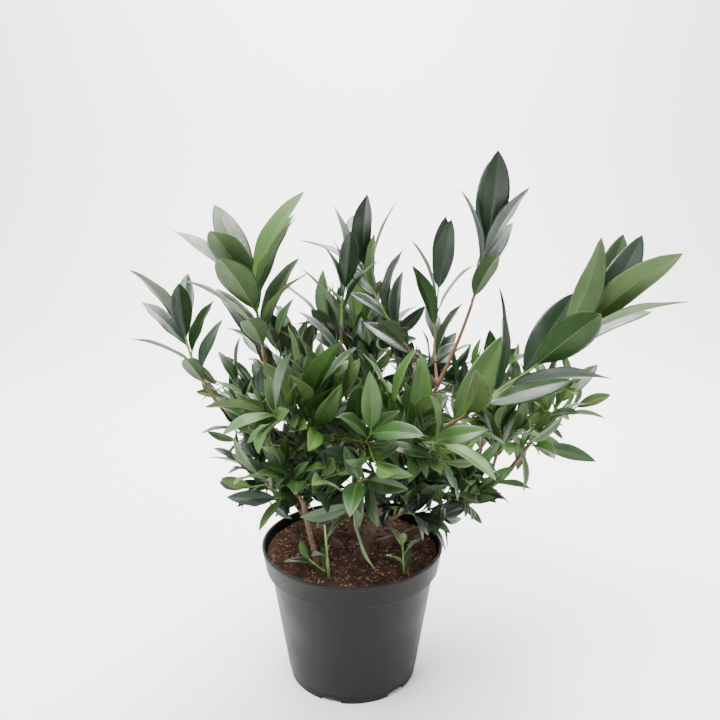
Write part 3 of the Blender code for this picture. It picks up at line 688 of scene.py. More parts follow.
# A finer twig: place on its stem, spread, rise, reach (mm) and sag. Its leaves: how many, their
# size, how far they open from the lowest to the highest, and where they begin
FINE_PLACE, FINE_SPREAD, FINE_RISE = (0.12, 0.85), (40, 70), (-0.1, 0.25)
FINE_REACH, FINE_SAG, FINE_POINTS = (18, 38), (-0.1, 0.04), 6
FINE_LEAVES, FINE_SIZE, FINE_OPENING, FINE_BARE = 4, (0.5, 0.78), (62, 34), 0.3
# A ball round a leaf: its middle's place along the leaf, and its radius, as a share of the length
BALL = 0.55

# Finishes. A leaf's: colour, roughness, how strong its vein bumps are, and its coat. The darkest is
# painted shade for the inner shoots
LEAF_LOOKS = {
    # Painted shade: the darkest leaf colour, for leaves inside the crown where shade falls
    "painted_shade": ((0.005, 0.015, 0.006), 0.46, 0.22, 0.0),
    "dark": ((0.007, 0.023, 0.009), 0.36, 0.36, 0.10),
    "mid": ((0.017, 0.048, 0.009), 0.42, 0.28, 0.05),
    "fresh": ((0.040, 0.096, 0.015), 0.46, 0.24, 0.0),
    "under": ((0.040, 0.076, 0.021), 0.58, 0.14, 0.0),
    "under_pale": ((0.066, 0.118, 0.026), 0.60, 0.14, 0.0),
}
# The others': two close colours with the roughness between, the grain's scale, the bump's
# strength and, where it isn't the usual, its height
RIB_LOOKS = {
    "rib_dark": ((0.028, 0.062, 0.024), 0.5, (0.036, 0.074, 0.028), 60.0, 0.1),
    "rib_light": ((0.072, 0.150, 0.030), 0.5, (0.082, 0.165, 0.034), 60.0, 0.1),
    "rib_under": ((0.105, 0.180, 0.045), 0.5, (0.12, 0.195, 0.05), 60.0, 0.1),
    "leaf_stalk": ((0.17, 0.24, 0.06), 0.5, (0.14, 0.21, 0.05), 60.0, 0.1),
}
TWIG_LOOKS = {
    "shoot_green": ((0.16, 0.26, 0.055), 0.5, (0.21, 0.30, 0.07), 45.0, 0.15),
    "shoot_brown": ((0.115, 0.062, 0.03), 0.62, (0.16, 0.10, 0.045), 60.0, 0.3),
    "bud": ((0.17, 0.20, 0.06), 0.5, (0.14, 0.10, 0.04), 120.0, 0.2),
}
BARK_LOOKS = {
    "bark_old": ((0.075, 0.038, 0.022), 0.86, (0.15, 0.085, 0.055), 70.0, 0.6, 0.0012),
    "bark_young": ((0.10, 0.045, 0.022), 0.7, (0.17, 0.09, 0.04), 90.0, 0.45, 0.0008),
    "bark_speck": ((0.30, 0.22, 0.15), 0.8, (0.22, 0.15, 0.10), 120.0, 0.3),
}
COMPOST_LOOKS = {
    "compost_dark": ((0.030, 0.014, 0.009), 0.95, (0.085, 0.036, 0.020), 160.0, 0.9, 0.002),
    "compost_red": ((0.13, 0.045, 0.022), 0.92, (0.19, 0.075, 0.035), 190.0, 0.5),
    "compost_brown": ((0.075, 0.030, 0.016), 0.92, (0.11, 0.05, 0.028), 190.0, 0.5),
    "compost_tan": ((0.30, 0.17, 0.09), 0.9, (0.38, 0.24, 0.14), 190.0, 0.4),
    "compost_pale": ((0.52, 0.43, 0.33), 0.9, (0.42, 0.33, 0.24), 190.0, 0.4),
}
FLOOR_LOOK = ((0.88, 0.88, 0.875), 0.8, (0.885, 0.885, 0.88), 6.0, 0.02)
POT_COLOUR, POT_ROUGHNESS, POT_SHEEN = (0.007, 0.0068, 0.0066), 0.5, 0.18
POT_DARK, POT_DUSTY, POT_DULL = (0.005, 0.0049, 0.0047), (0.010, 0.0097, 0.0094), (0.40, 0.60)

# Twigs: share of a leader, and of another twig, that is brown; thickness of side and finer twigs
# against the leader's, the loss to the tip, the rings and sides, and the twist of their ridges
BROWN_SHARE = 0.45
BROWN = {
    "left_tall": 0.35, "right_big": 0.3, "top_right": 0.4, "left_front": 0.0,
    "sprout_left": 0.0, "sprout_right": 0.0,
}
SIDE_BROWN = (-0.3, 0.5)
GREEN_SLOT, BROWN_SLOT, BUD_SLOT = 0, 1, 2
SIDE_THICK, FINE_THICK, TWIG_LOSS = 0.62, 0.42, 0.55
TWIG_STEP, TWIG_RINGS, TWIG_SIDES = 4 * MM, 6, 9
TWIG_RIDGE, TWIG_TWIST = 0.05, 260
# Buds at twig ends and over leaves: outline (place along it, radius), then plumpness and sides,
# and their lengths (mm)
END_BUD = ((0.0, 0.6), (0.2, 1.0), (0.5, 0.95), (0.8, 0.55), (1.0, 0.12)), 0.30, 7
LEAF_BUD = ((0.0, 0.55), (0.4, 1.0), (0.8, 0.6), (1.0, 0.1)), 0.36, 6
END_BUD_SHARE, LEADER_BUD_LENGTH, SIDE_BUD_LENGTH = 0.6, 4.5, 2.6
LEAF_BUD_LENGTH, LEAF_BUD_LEAN = (1.6, 2.8), 0.9

# Wood: step between rings and the sides of its tubes, relief of its bark (scale round the limb,
# scale along it, shift), swelling at a fork, foot under the soil, reach of a stub, and its specks
OLD_BARK, YOUNG_BARK, SPECK = 0, 1, 2
WOOD_STEP, LEAST_RINGS, LIMB_SIDES, BOUGH_SIDES = 2.2 * MM, 8, 18, 12
LIMB_RELIEF, BOUGH_RELIEF, RELIEF_SEED = 0.16, 0.10, 3.7
RIDGES, SWELLS, SWELL_SHARE = (1.6, 55, 0), (0.7, 18, 7), 1.1
FORK_SWELL, FORK_LENGTH = 0.35, 5 * MM
BELOW_SOIL, BELOW_FLARE = 6, 1.05
BARE_LENGTH, BARE_SHARE, WOOD_END = 14 * MM, 0.3, 0.4 * MM
SPECK_STEP, SPECK_PLACE, SPECK_SIZE = 3.4 * MM, (0.04, 0.97), (0.35, 0.75)
SPECK_SINK, SPECK_LONG, SPECK_BEND, SPECK_PLUMP = 0.93, 1.5, 0.25, 0.6
SPECK_OUTLINE = (0.25, 0.8, 1.0, 0.8, 0.25)

# Pot's finer mouldings, in mm. Bead and groove: in from the rim and down from the top. Foot of
# the collar and of the wall: out from their own radius and up from their foot
BEAD = ((0.4, 4.5), (0.9, 5.2))
COLLAR_EASE, WALL_EASE = (0.3, 2.4), (0.1, 0.9)
LEDGE_DROP, FOOT_TAPER = 0.2 * MM, 0.7 * MM
# Its rounded edges: radius, the least, the most as a share of a side, and points on each
EDGE_ROUND, LEAST_ROUND, MOST_ROUND, ROUND_STEPS = 0.9 * MM, 0.02 * MM, 0.45, 4
LATHE_STEPS, SHARP_ANGLE = 160, 32
# A notch's side, from below the foot to its top: shares of its half width and of its height
NOTCH_SIDE = ((1.04, -1.2), (1.0, 0.52), (0.93, 0.86), (0.8, 1.0))

# Compost: rings and sides of its crust, its depth, how far it is sunk, its radius, and its lumps
# (height in mm, scale, seed)
SOIL_RINGS, SOIL_SIDES, SOIL_DEPTH, SOIL_SINK = 52, 120, 12 * MM, 0.6 * MM
SOIL_EDGE = COLLAR_FOOT_RADIUS - WALL + 1.0 * MM
LUMPS = ((2.6, 42, 1.3), (1.5, 120, 4.1), (0.8, 300, 8.7))
# Its chips: how many, the slots they are drawn from, their lengths and widths (mm), their tilt
# (radians), bend, lift and outline
CHIPS, CHIP_SPREAD, CHIP_SIDES, CHIP_ROOM = 2600, 0.985, 4, 0.6 * MM
COMMON_SHARE, COMMON_CHIPS, PALE_CHIPS, PALE = 0.93, (1, 1, 2, 2, 2, 0, 0, 3), (3, 4), 4
SHORT_SHARE, SHORT_CHIP, LONG_CHIP, PALE_CHIP = 0.7, (2.0, 7.0), (7.0, 15.0), (1.2, 3.0)
LONG_FROM, LONG_WIDTH, SHORT_WIDTH = 7 * MM, (0.45, 1.4), (0.7, 2.2)
CHIP_TILT, CHIP_CURVE, CHIP_LIFT, CHIP_OUTLINE = 0.22, 0.25, 0.35, (0.55, 1.0, 0.9, 0.4)

# Studio: a swept backdrop, soft lights (place, aim, size, power, colour) and the camera
SWEEP_HALF, SWEEP_BACK, SWEEP_CURVE, SWEEP_STEPS = 4.0, 2.6, 0.9, 14
WORLD_STRENGTH = 0.70
LIGHTS = {
    "key": ((-0.7, -0.9, 2.5), (0, 0, 0.2), 1.2, 150.0, (1.0, 0.99, 0.97)),
    "fill": ((1.6, -1.7, 1.4), (0, 0, 0.3), 1.6, 20.0, (0.98, 0.99, 1.0)),
    "back": ((0.5, 1.3, 2.3), (0, 0, 0.3), 1.2, 60.0, (1.0, 1.0, 1.0)),
    "wall": ((0.0, 0.9, 2.6), (0, 2.5, 0.7), 2.2, 260.0, (1.0, 0.995, 0.985)),
}
CAMERA_PLACE, CAMERA_PITCH, SENSOR, FOCAL = (0.0095, -0.825, 0.600), 13.31, 36.0, 36.0


class Blades:
    """Every leaf placed so far, to keep new ones from crossing them."""

    def __init__(self):
        self.middles, self.reach, self.trees = [], [], []

    @staticmethod
    def ball(leaf):
        return leaf.root + leaf.along * leaf.length * BALL, leaf.length * BALL

    def add(self, leaf, tree):
        middle, reach = self.ball(leaf)
        self.middles.append(middle)
        self.reach.append(reach)
        self.trees.append(tree)

    def crossed(self, leaf, tree):
        middle, reach = self.ball(leaf)
        gaps = np.linalg.norm(np.array(self.middles) - middle, axis=1)
        near = np.nonzero(gaps < np.array(self.reach) + reach)[0]
        return any(tree.overlap(self.trees[k]) for k in near)


def finer_twig(stem, rng):
    """A short twig that leaves its stem somewhere along it, to any side."""
    root, along = walk(stem, lengths(stem)[-1] * rng.uniform(*FINE_PLACE))
    out = sideways(along, rng.uniform(0, 360))
    spread = math.radians(rng.uniform(*FINE_SPREAD))
    aim = unit(along * math.cos(spread) + out * math.sin(spread) + UP * rng.uniform(*FINE_RISE))
    reach = rng.uniform(*FINE_REACH) * MM
    return bend(root, root + aim * reach, UP * rng.uniform(*FINE_SAG) * reach, FINE_POINTS)


def grow_finer(limbs, stubs, masses):
    """More twigs and smaller leaves inside the reach of the masses that are full."""
    space = Space({name: mass.twigs for name, mass in masses.items()}, limbs, stubs)
    lowest, highest = (np.array(corner) for corner in cad_box)
    blades = Blades()
    for mass in masses.values():
        for leaf in mass.leaves:
            blades.add(leaf, blade_of(leaf))

    def fits(points):
        inside = (points >= lowest).all() and (points <= highest).all()
        return inside and space.clear(points)

    finer = {name: ([], []) for name in masses}
    for name, (on_leader, on_side) in FINER.items():
        rng = random.Random(name + " finer")
        twigs, leaves = finer[name]
        for k, stem in enumerate(masses[name].twigs):
            for i in range(on_side if k else on_leader):
                twig = finer_twig(stem, rng)
                if not space.clear(twig[2:]):
                    continue
                twigs.append(twig)
                size = SHOOTS[name].leaf * MM * rng.uniform(*FINE_SIZE)
                phase = rng.uniform(0, 360)
                for spec in leaves_on(
                    twig, FINE_LEAVES, size, *FINE_OPENING, phase, FINE_BARE, rng
                ):
                    found = fit_leaf(spec, fits, blades.crossed)
                    if found:
                        leaves.append(found[0])
                        blades.add(*found)
    return finer


class Batch:
    """Vertices, faces, slots and UVs of many pieces that become one object."""

    def __init__(self):
        self.verts, self.faces, self.slots, self.uvs, self.count = [], [], [], [], 0

    def add(self, verts, faces, slots, uvs=None):
        verts = np.asarray(verts, float)
        self.verts.append(verts)
        self.faces += [tuple(self.count + k for k in face) for face in faces]
        self.slots += list(slots)
        if uvs is None:
            uvs = np.zeros((len(verts), 2))
        self.uvs.append(np.asarray(uvs, float))
        self.count += len(verts)

    def build(self, name, materials, replaces=()):
        mesh = bpy.data.meshes.new(name)
        verts = np.concatenate(self.verts)
        mesh.from_pydata(verts.tolist(), [], self.faces)
        for finish in materials:
            mesh.materials.append(finish)
        mesh.polygons.foreach_set("material_index", self.slots)
        mesh.polygons.foreach_set("use_smooth", [True] * len(self.faces))
        layer = mesh.uv_layers.new(name="UVMap")
        corners = np.zeros(len(mesh.loops), np.int32)
        mesh.loops.foreach_get("vertex_index", corners)
        layer.data.foreach_set("uv", np.concatenate(self.uvs)[corners].ravel())
        mesh.update()
        made = add_object(name, mesh)
        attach(made, "root")
        if replaces:
            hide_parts(*replaces)
        return made


def add_object(name, data):
    made = bpy.data.objects.new(name, data)
    bpy.context.scene.collection.objects.link(made)
    return made


def leaf_topology():
    """Faces of one closed leaf and the part of the leaf each belongs to."""
    rows, cols = len(ROWS), len(COLUMNS)

    def upper(r, c):
        return r * cols + c

    def lower(r, c):
        if c in (0, cols - 1):
            return upper(r, c)
        return rows * cols + r * (cols - 2) + c - 1

    faces, kinds = [], []
    middle = (cols - 1) // 2
    for r in range(rows - 1):
        stalk = ROWS[r + 1] <= PETIOLE
        for c in range(cols - 1):
            rib = c == middle
            faces.append((upper(r, c), upper(r, c + 1), upper(r + 1, c + 1), upper(r + 1, c)))
            kinds.append("stalk" if stalk else "rib" if rib else "upper")
            faces.append((lower(r, c), lower(r + 1, c), lower(r + 1, c + 1), lower(r, c + 1)))
            kinds.append("stalk" if stalk else "rib_under" if rib else "under")
    for r, back in ((0, True), (rows - 1, False)):
        for c in range(cols - 1):
            loop = [upper(r, c), upper(r, c + 1), lower(r, c + 1), lower(r, c)]
            loop = [k for i, k in enumerate(loop) if k not in loop[:i]]
            faces.append(tuple(reversed(loop)) if back else tuple(loop))
            kinds.append("stalk" if back else "upper")
    grid = [(r, c, 1) for r in range(rows) for c in range(cols)]
    grid += [(r, c, -1) for r in range(rows) for c in range(1, cols - 1)]
    return faces, kinds, np.array(grid)


FACES, KINDS, GRID = leaf_topology()
SHARE = np.array(ROWS)[GRID[:, 0]]
ASIDE = np.array(COLUMNS)[GRID[:, 1]]
SIDE = GRID[:, 2].astype(float)
UVS = np.stack([SHARE, ASIDE * 0.5 + 0.5], axis=1)
ON_RIB = np.abs(ASIDE) == min(abs(column) for column in COLUMNS)
ON_EDGE = np.abs(ASIDE) == max(COLUMNS)


def leaf_mesh(leaf, rng):
    """One curved, thin, closed laurel leaf with its stalk, drawn inside the source's leaf."""
    length = leaf.length
    blade = np.clip((SHARE - PETIOLE) / (1 - PETIOLE), 0.0, 1.0)
    broad = rng.uniform(*BROAD)
    shape = BLADE_SCALE * blade ** ROOT_POWER * (1 - blade) ** TIP_POWER
    half = HALF_BLADE * length * broad * shape
    stalk = STALK_RADIUS * (1 - STALK_TAPER * np.clip(SHARE / PETIOLE, 0, 1))
    half = np.where(blade > 0, np.maximum(half, stalk * (1 - blade)), stalk)
    half = np.maximum(half, TIP_HALF)
    phase, waves = rng.uniform(0, math.tau), rng.uniform(*WAVES)
    ripple = rng.uniform(*RIPPLE) * RIPPLE_HEIGHT
    fold = math.tan(math.radians(rng.uniform(*FOLD)))
    droop = rng.uniform(*DROOP)
    swing = rng.uniform(*SWING)
    narrow = np.clip(half / FULL_HALF, 0.0, 1.0)
    rib_half = np.minimum(RIB * (RIB_ROOT - RIB_LOSS * blade), half * RIB_MOST)
    place = np.where(ON_RIB, np.sign(ASIDE) * rib_half, ASIDE * half)
    lift = fold * np.abs(place) * narrow * (1 - FOLD_EASE * np.abs(ASIDE))
    lift += LEAF_CURL * 4 * SHARE * (1 - SHARE) * length
    lift -= droop * length * blade ** DROOP_POWER
    wave = np.sin(math.tau * waves * SHARE + phase + RIPPLE_SHIFT * np.sign(ASIDE))
    lift += ripple * length * wave * ASIDE ** 2 * narrow
    on_stalk = SHARE <= PETIOLE
    thick = np.where(on_stalk, STALK_THICK, BLADE_THICK + ROOT_THICK * np.exp(-blade * ROOT_FADE))
    body = np.sqrt(np.clip(1 - ASIDE ** 2, 0, 1))
    level = SIDE * thick * 0.5 * np.where(on_stalk, body, EDGE_THICK + (1 - EDGE_THICK) * body)
    level = np.where(ON_EDGE, 0.0, level)
    rib_depth = RIB_DEPTH * (1 - RIB_FADE * blade) * narrow
    level -= np.where(ON_RIB, np.where(SIDE < 0, RIB_UNDER, RIB_UPPER) * rib_depth, 0.0)
    across = np.cross(leaf.along, leaf.normal)
    drift = swing * length * blade ** 2
    return (
        leaf.root
        + np.outer(SHARE * length, leaf.along)
        + np.outer(place + drift, across)
        + np.outer(lift + level, leaf.normal)
    )


def smooth_path(path, count):
    """A rounded line through a path's points, with count points."""
    marks = lengths(path)
    padded = np.concatenate([[2 * path[0] - path[1]], path, [2 * path[-1] - path[-2]]])
    out = []
    for s in np.linspace(0, marks[-1], count):
        k = int(np.clip(np.searchsorted(marks, s, side="right") - 1, 0, len(path) - 2))
        t = (s - marks[k]) / (marks[k + 1] - marks[k])
        a, b, c, d = padded[k:k + 4]
        square, cube = 2 * a - 5 * b + 4 * c - d, 3 * b - a - 3 * c + d
        out.append(0.5 * (2 * b + (c - a) * t + square * t * t + cube * t ** 3))
    return np.array(out)


# How far a tube's closing points stand out from its ends, in radii, and how steep a path may
# start before its first ring is turned from RIGHT instead of UP
FOOT_CAP, END_CAP, TIP_CAP = 0.2, 0.3, 1.6
UPRIGHT = 0.9


def tube_mesh(path, radii, sides, relief=None, tip=False):
    """A closed tube along a path; relief gives each ring's own outline."""
    along = np.gradient(path, axis=0)
    along /= np.linalg.norm(along, axis=1)[:, None]
    normal = unit(np.cross(along[0], UP if abs(along[0][2]) < UPRIGHT else RIGHT))
    verts, uvs = [], []
    turns = np.linspace(0, math.tau, sides, endpoint=False)
    marks = lengths(path)
    for place, direction, radius, mark in zip(path, along, radii, marks):
        normal = unit(normal - direction * normal.dot(direction))
        other = np.cross(direction, normal)
        r = radius * (relief(turns, mark) if relief else 1.0)
        side, rise = np.outer(np.cos(turns) * r, normal), np.outer(np.sin(turns) * r, other)
        verts.append(place + side + rise)
        uvs.append(np.stack([np.full(sides, mark), turns / math.tau], axis=1))
    faces = []
    for k in range(len(path) - 1):
        a, b = k * sides, (k + 1) * sides
        for i in range(sides):
            j = (i + 1) % sides
            faces.append((a + i, a + j, b + j, b + i))
    foot = path[0] - along[0] * radii[0] * FOOT_CAP
    end = path[-1] + along[-1] * radii[-1] * (TIP_CAP if tip else END_CAP)
    uvs = np.concatenate(uvs + [np.array([[0, 0], [marks[-1], 0]])])
    n, last = len(path) * sides, (len(path) - 1) * sides
    verts = np.concatenate(verts + [np.array([foot, end])])
    for i in range(sides):
        j = (i + 1) % sides
        faces.append((n, j, i))
        faces.append((n + 1, last + i, last + j))
    return verts, faces, uvs


def shader_of(name, colour, roughness):
    made = bpy.data.materials.new(name)
    made.use_nodes = True
    shader = made.node_tree.nodes["Principled BSDF"]
    shader.inputs["Base Color"].default_value = (*colour, 1.0)
    shader.inputs["Roughness"].default_value = roughness
    return made, made.node_tree, shader


def math_node(tree, kind, a, b=None):
    made = tree.nodes.new("ShaderNodeMath")
    made.operation = kind
    for k, value in enumerate((a, b)):
        if value is None:
            continue
        if isinstance(value, (int, float)):
            made.inputs[k].default_value = value
        else:
            tree.links.new(value, made.inputs[k])
    return made.outputs[0]


def noise_of(tree, scale, detail=4.0, roughness=0.55, vector=None):
    made = tree.nodes.new("ShaderNodeTexNoise")
    made.inputs["Scale"].default_value = scale
    made.inputs["Detail"].default_value = detail
    made.inputs["Roughness"].default_value = roughness
    tree.links.new(vector or object_space(tree), made.inputs["Vector"])
    return made.outputs["Fac"]


def object_space(tree):
    return tree.nodes.new("ShaderNodeTexCoord").outputs["Object"]


def vary_roughness(tree, shader, fac, low, high):
    spread = tree.nodes.new("ShaderNodeMapRange")
    spread.inputs["From Min"].default_value = 0.3
    spread.inputs["From Max"].default_value = 0.7
    spread.inputs["To Min"].default_value = low
    spread.inputs["To Max"].default_value = high
    tree.links.new(fac, spread.inputs["Value"])
    tree.links.new(spread.outputs["Result"], shader.inputs["Roughness"])


def raise_bump(tree, shader, height, strength, distance):
    bump = tree.nodes.new("ShaderNodeBump")
    bump.inputs["Strength"].default_value = strength
    bump.inputs["Distance"].default_value = distance
    tree.links.new(height, bump.inputs["Height"])
    tree.links.new(bump.outputs["Normal"], shader.inputs["Normal"])


def mix_colours(tree, shader, fac, low, high, start=0.35, stop=0.65):
    ramp = tree.nodes.new("ShaderNodeValToRGB")
    for element, place, colour in zip(ramp.color_ramp.elements, (start, stop), (low, high)):
        element.position = place
        element.color = (*colour, 1.0)
    tree.links.new(fac, ramp.inputs["Fac"])
    tree.links.new(ramp.outputs["Color"], shader.inputs["Base Color"])


def leaf_material(name, colour, roughness, veins, coat, spread=0.12):
    """A leaf's face: uneven side veins that leave the midrib at an angle, and a faint mottle."""
    made, tree, shader = shader_of(name, colour, roughness)
    uv = tree.nodes.new("ShaderNodeTexCoord").outputs["UV"]
    split = tree.nodes.new("ShaderNodeSeparateXYZ")
    tree.links.new(uv, split.inputs[0])
    aside = math_node(tree, "ABSOLUTE", math_node(tree, "SUBTRACT", split.outputs["Y"], 0.5))
    rise = math_node(tree, "MULTIPLY", math_node(tree, "POWER", aside, 0.8), 2.2)
    wander = math_node(tree, "MULTIPLY", noise_of(tree, 5.0, 2.0, vector=uv), 1.3)
    along = math_node(tree, "ADD", math_node(tree, "MULTIPLY", split.outputs["X"], 8.0), wander)
    turn = math_node(tree, "MULTIPLY", math_node(tree, "SUBTRACT", along, rise), math.tau)
    line = math_node(tree, "POWER", math_node(tree, "ABSOLUTE", math_node(tree, "SINE", turn)), 0.5)
    swell = math_node(tree, "MULTIPLY", noise_of(tree, 130.0, 3.0), 1.1)
    height = math_node(tree, "ADD", math_node(tree, "MULTIPLY", line, 0.8), swell)
    raise_bump(tree, shader, height, veins, 0.0005)
    low = tuple(c * (1 - spread) for c in colour)
    high = tuple(min(1.0, c * (1 + spread)) for c in colour)
    mix_colours(tree, shader, noise_of(tree, 34.0, 4.0), low, high)
    vary_roughness(tree, shader, noise_of(tree, 70.0, 3.0), roughness - 0.07, roughness + 0.09)
    if coat:
        shader.inputs["Coat Weight"].default_value = coat
        shader.inputs["Coat Roughness"].default_value = 0.3
    return made


def plain_material(name, colour, roughness, other, scale, bump, distance=0.0006):
    """A rough natural surface of two close colours."""
    made, tree, shader = shader_of(name, colour, roughness)
    coarse = noise_of(tree, scale, 5.0, 0.6)
    mix_colours(tree, shader, coarse, colour, other)
    vary_roughness(tree, shader, coarse, roughness - 0.08, min(1.0, roughness + 0.08))
    raise_bump(tree, shader, noise_of(tree, scale * 4, 4.0, 0.6), bump, distance)
    return made


def plain_materials(looks):
    return [plain_material(name, *look) for name, look in looks.items()]


def make_leaves(masses, finer):
    """Every leaf as its own curved closed blade, joined by region."""
    finish = [leaf_material("leaf_" + name, *look) for name, look in LEAF_LOOKS.items()]
    finish += plain_materials(RIB_LOOKS)
    slots = {name: k for k, name in enumerate([*LEAF_LOOKS, *RIB_LOOKS])}
    for region, members in GROUPS.items():
        batch = Batch()
        for name in members:
            rng = random.Random(name + " blades")
            for leaf in masses[name].leaves + finer[name][1]:
                upper = rng.choice(MIXES[TONES[name]])
                bright = upper in ("fresh", "mid")
                under = "under_pale" if bright else "under"
                rib, rib_under = "rib_light" if bright else "rib_dark", "rib_under"
                if rng.random() < TURNED.get(name, TURNED_SHARE) and leaf.normal[1] > 0:
                    upper, under, rib, rib_under = under, upper, rib_under, rib
                pick = {
                    "upper": slots[upper], "under": slots[under], "rib": slots[rib],
                    "rib_under": slots[rib_under], "stalk": slots["leaf_stalk"],
                }
                batch.add(leaf_mesh(leaf, rng), FACES, [pick[kind] for kind in KINDS], UVS)
        stands = ["foliage_" + name for name in members]
        batch.build("leaves_" + region, finish, stands)


def twig_relief(rng):
    phase = rng.uniform(0, math.tau)
    return lambda turns, mark: 1 + TWIG_RIDGE * np.sin(2 * turns + phase + mark * TWIG_TWIST)


def add_bud(batch, start, out, size, outline, plump, sides):
    """A pointed bud; its outline gives places along it and its radius there."""
    steps, swell = np.array(outline).T
    line = start + np.outer(steps * size, out)
    verts, faces, uvs = tube_mesh(line, swell * size * plump, sides, tip=True)
    batch.add(verts, faces, [BUD_SLOT] * len(faces), uvs)


def make_twigs(masses, finer):
    """Green shoots that turn brown towards their bough, with a bud over each of the masses' own
    leaves; the finer leaves get none.
    """
    batch = Batch()
    for name, mass in masses.items():
        rng = random.Random(name + " twigs")
        for k, path in enumerate(list(mass.twigs) + finer[name][0]):
            leader = k == 0
            base = mass.thick
            if not leader:
                base = mass.thick * (SIDE_THICK if k < len(mass.twigs) else FINE_THICK)
            count = max(TWIG_RINGS, int(lengths(path)[-1] / TWIG_STEP))
            line = smooth_path(path, count)
            marks = lengths(line) / lengths(line)[-1]
            radii = base * (1 - TWIG_LOSS * marks)
            verts, faces, uvs = tube_mesh(line, radii, TWIG_SIDES, twig_relief(rng), tip=True)
            brown = BROWN.get(name, BROWN_SHARE) if leader else rng.uniform(*SIDE_BROWN)
            slots = []
            for mark in marks[:-1]:
                slots += [BROWN_SLOT if mark < brown else GREEN_SLOT] * TWIG_SIDES
            slots += [BROWN_SLOT if brown > 0 else GREEN_SLOT, GREEN_SLOT] * TWIG_SIDES
            batch.add(verts, faces, slots, uvs)
            if leader or rng.random() < END_BUD_SHARE:
                size = (LEADER_BUD_LENGTH if leader else SIDE_BUD_LENGTH) * MM
                out = unit(line[-1] - line[-2])
                add_bud(batch, line[-1], out, size, *END_BUD)
        for leaf in mass.leaves:
            out = unit(leaf.along + leaf.normal * LEAF_BUD_LEAN)
            size = rng.uniform(*LEAF_BUD_LENGTH) * MM
            start = leaf.root + leaf.normal * mass.thick * 0.5
            add_bud(batch, start, out, size, *LEAF_BUD)
    batch.build("twigs", plain_materials(TWIG_LOOKS))


def bark_relief(seed, amount):
    """Shallow lengthwise ridges and swellings, the same for the same seed."""
    def bumps(angle, mark, across, along, shift):
        x, y = math.cos(angle) * across + seed, math.sin(angle) * across
        return noise.noise(Vector((x, y, mark * along + shift)))

    def relief(turns, mark):
        return np.array([
            1 + amount * bumps(a, mark, *RIDGES) + SWELL_SHARE * amount * bumps(a, mark, *SWELLS)
            for a in turns
        ])
    return relief


def walk_length(path, point):
    """Distance along the path of its nearest point."""
    best, at = math.inf, 0.0
    marks = lengths(path)
    for k in range(len(path) - 1):
        run = path[k + 1] - path[k]
        t = float(np.clip((point - path[k]).dot(run) / run.dot(run), 0, 1))
        gap = np.linalg.norm(path[k] + run * t - point)
        if gap < best:
            best, at = gap, marks[k] + t * (marks[k + 1] - marks[k])
    return at


def add_specks(batch, line, radii, rng):
    """Small pale specks that lie across the bark."""
    total = lengths(line)[-1]
    steps = np.linspace(-1, 1, len(SPECK_OUTLINE))
    for i in range(int(total / SPECK_STEP)):
        place, along = walk(line, total * rng.uniform(*SPECK_PLACE))
        k = int(np.argmin(np.linalg.norm(line - place, axis=1)))
        out = sideways(along, rng.uniform(0, 360))
        size = rng.uniform(*SPECK_SIZE) * MM
        middle = place + out * radii[k] * SPECK_SINK
        speck = middle + np.outer(steps * size * SPECK_LONG, np.cross(along, out))
        speck = speck - np.outer(np.abs(steps) * size * SPECK_BEND, out)
        swell = np.array(SPECK_OUTLINE) * size * SPECK_PLUMP
        verts, faces, uvs = tube_mesh(speck, swell, len(SPECK_OUTLINE))
        batch.add(verts, faces, [SPECK] * len(faces), uvs)


def make_wood(limbs):
    """Trunk, stems and boughs with bark relief, one tapering tube for each, joined."""
    batch = Batch()
    for n, (name, axis) in enumerate(limb_axes().items()):
        limb, main = PLAN[name], name in LIMBS
        if limb.parent == "soil" and not main:
            continue
        line = smooth_path(axis, max(LEAST_RINGS, int(lengths(axis)[-1] / WOOD_STEP)))
        marks = lengths(line)
        if main:
            last, thick, thin = marks[-1], limb.thick * MM, limb.thin * MM
        elif limb.bare:
            path, thick, thin = limbs["bough_" + name]
            last = walk_length(axis, path[-1])
        else:
            last = min(BARE_LENGTH, marks[-1] * BARE_SHARE)
            thick = thin = limb.thick * MM
        keep = marks <= last + WOOD_END
        line, marks = line[keep], marks[keep]
        radii = thick + (thin - thick) * marks / marks[-1]
        if limb.parent == "soil":
            radii = radii * (1 + FLARE * np.exp(-marks / FLARE_LENGTH))
            below = line[0] - unit(line[1] - line[0]) * BELOW_SOIL * MM
            line = np.concatenate([[below], line])
            radii = np.concatenate([radii[:1] * BELOW_FLARE, radii])
        else:
            radii = radii * (1 + FORK_SWELL * np.exp(-marks / FORK_LENGTH))
        relief = bark_relief(n * RELIEF_SEED, LIMB_RELIEF if main else BOUGH_RELIEF)
        verts, faces, uvs = tube_mesh(line, radii, LIMB_SIDES if main else BOUGH_SIDES, relief)
        batch.add(verts, faces, [OLD_BARK if main else YOUNG_BARK] * len(faces), uvs)
        add_specks(batch, line, radii, random.Random(name + " wood"))
    stands = list(LIMBS) + [name for name in limbs if name not in LIMBS]
    batch.build("bark", plain_materials(BARK_LOOKS), stands)


def lathe(profile, steps):
    """A closed turned shape; the profile starts and ends on the axis."""
    verts, faces = [], []
    turns = np.linspace(0, math.tau, steps, endpoint=False)
    for r, z in profile[1:-1]:
        verts += [(r * math.cos(a), r * math.sin(a), z) for a in turns]
    last = len(verts) - steps
    for k in range(0, last, steps):
        for i in range(steps):
            j = (i + 1) % steps
            faces.append((k + i, k + steps + i, k + steps + j, k + j))
    top, bottom = len(verts), len(verts) + 1
    verts += [(0, 0, profile[0][1]), (0, 0, profile[-1][1])]
    for i in range(steps):
        j = (i + 1) % steps
        faces.append((top, i, j))
        faces.append((bottom, last + j, last + i))
    return verts, faces


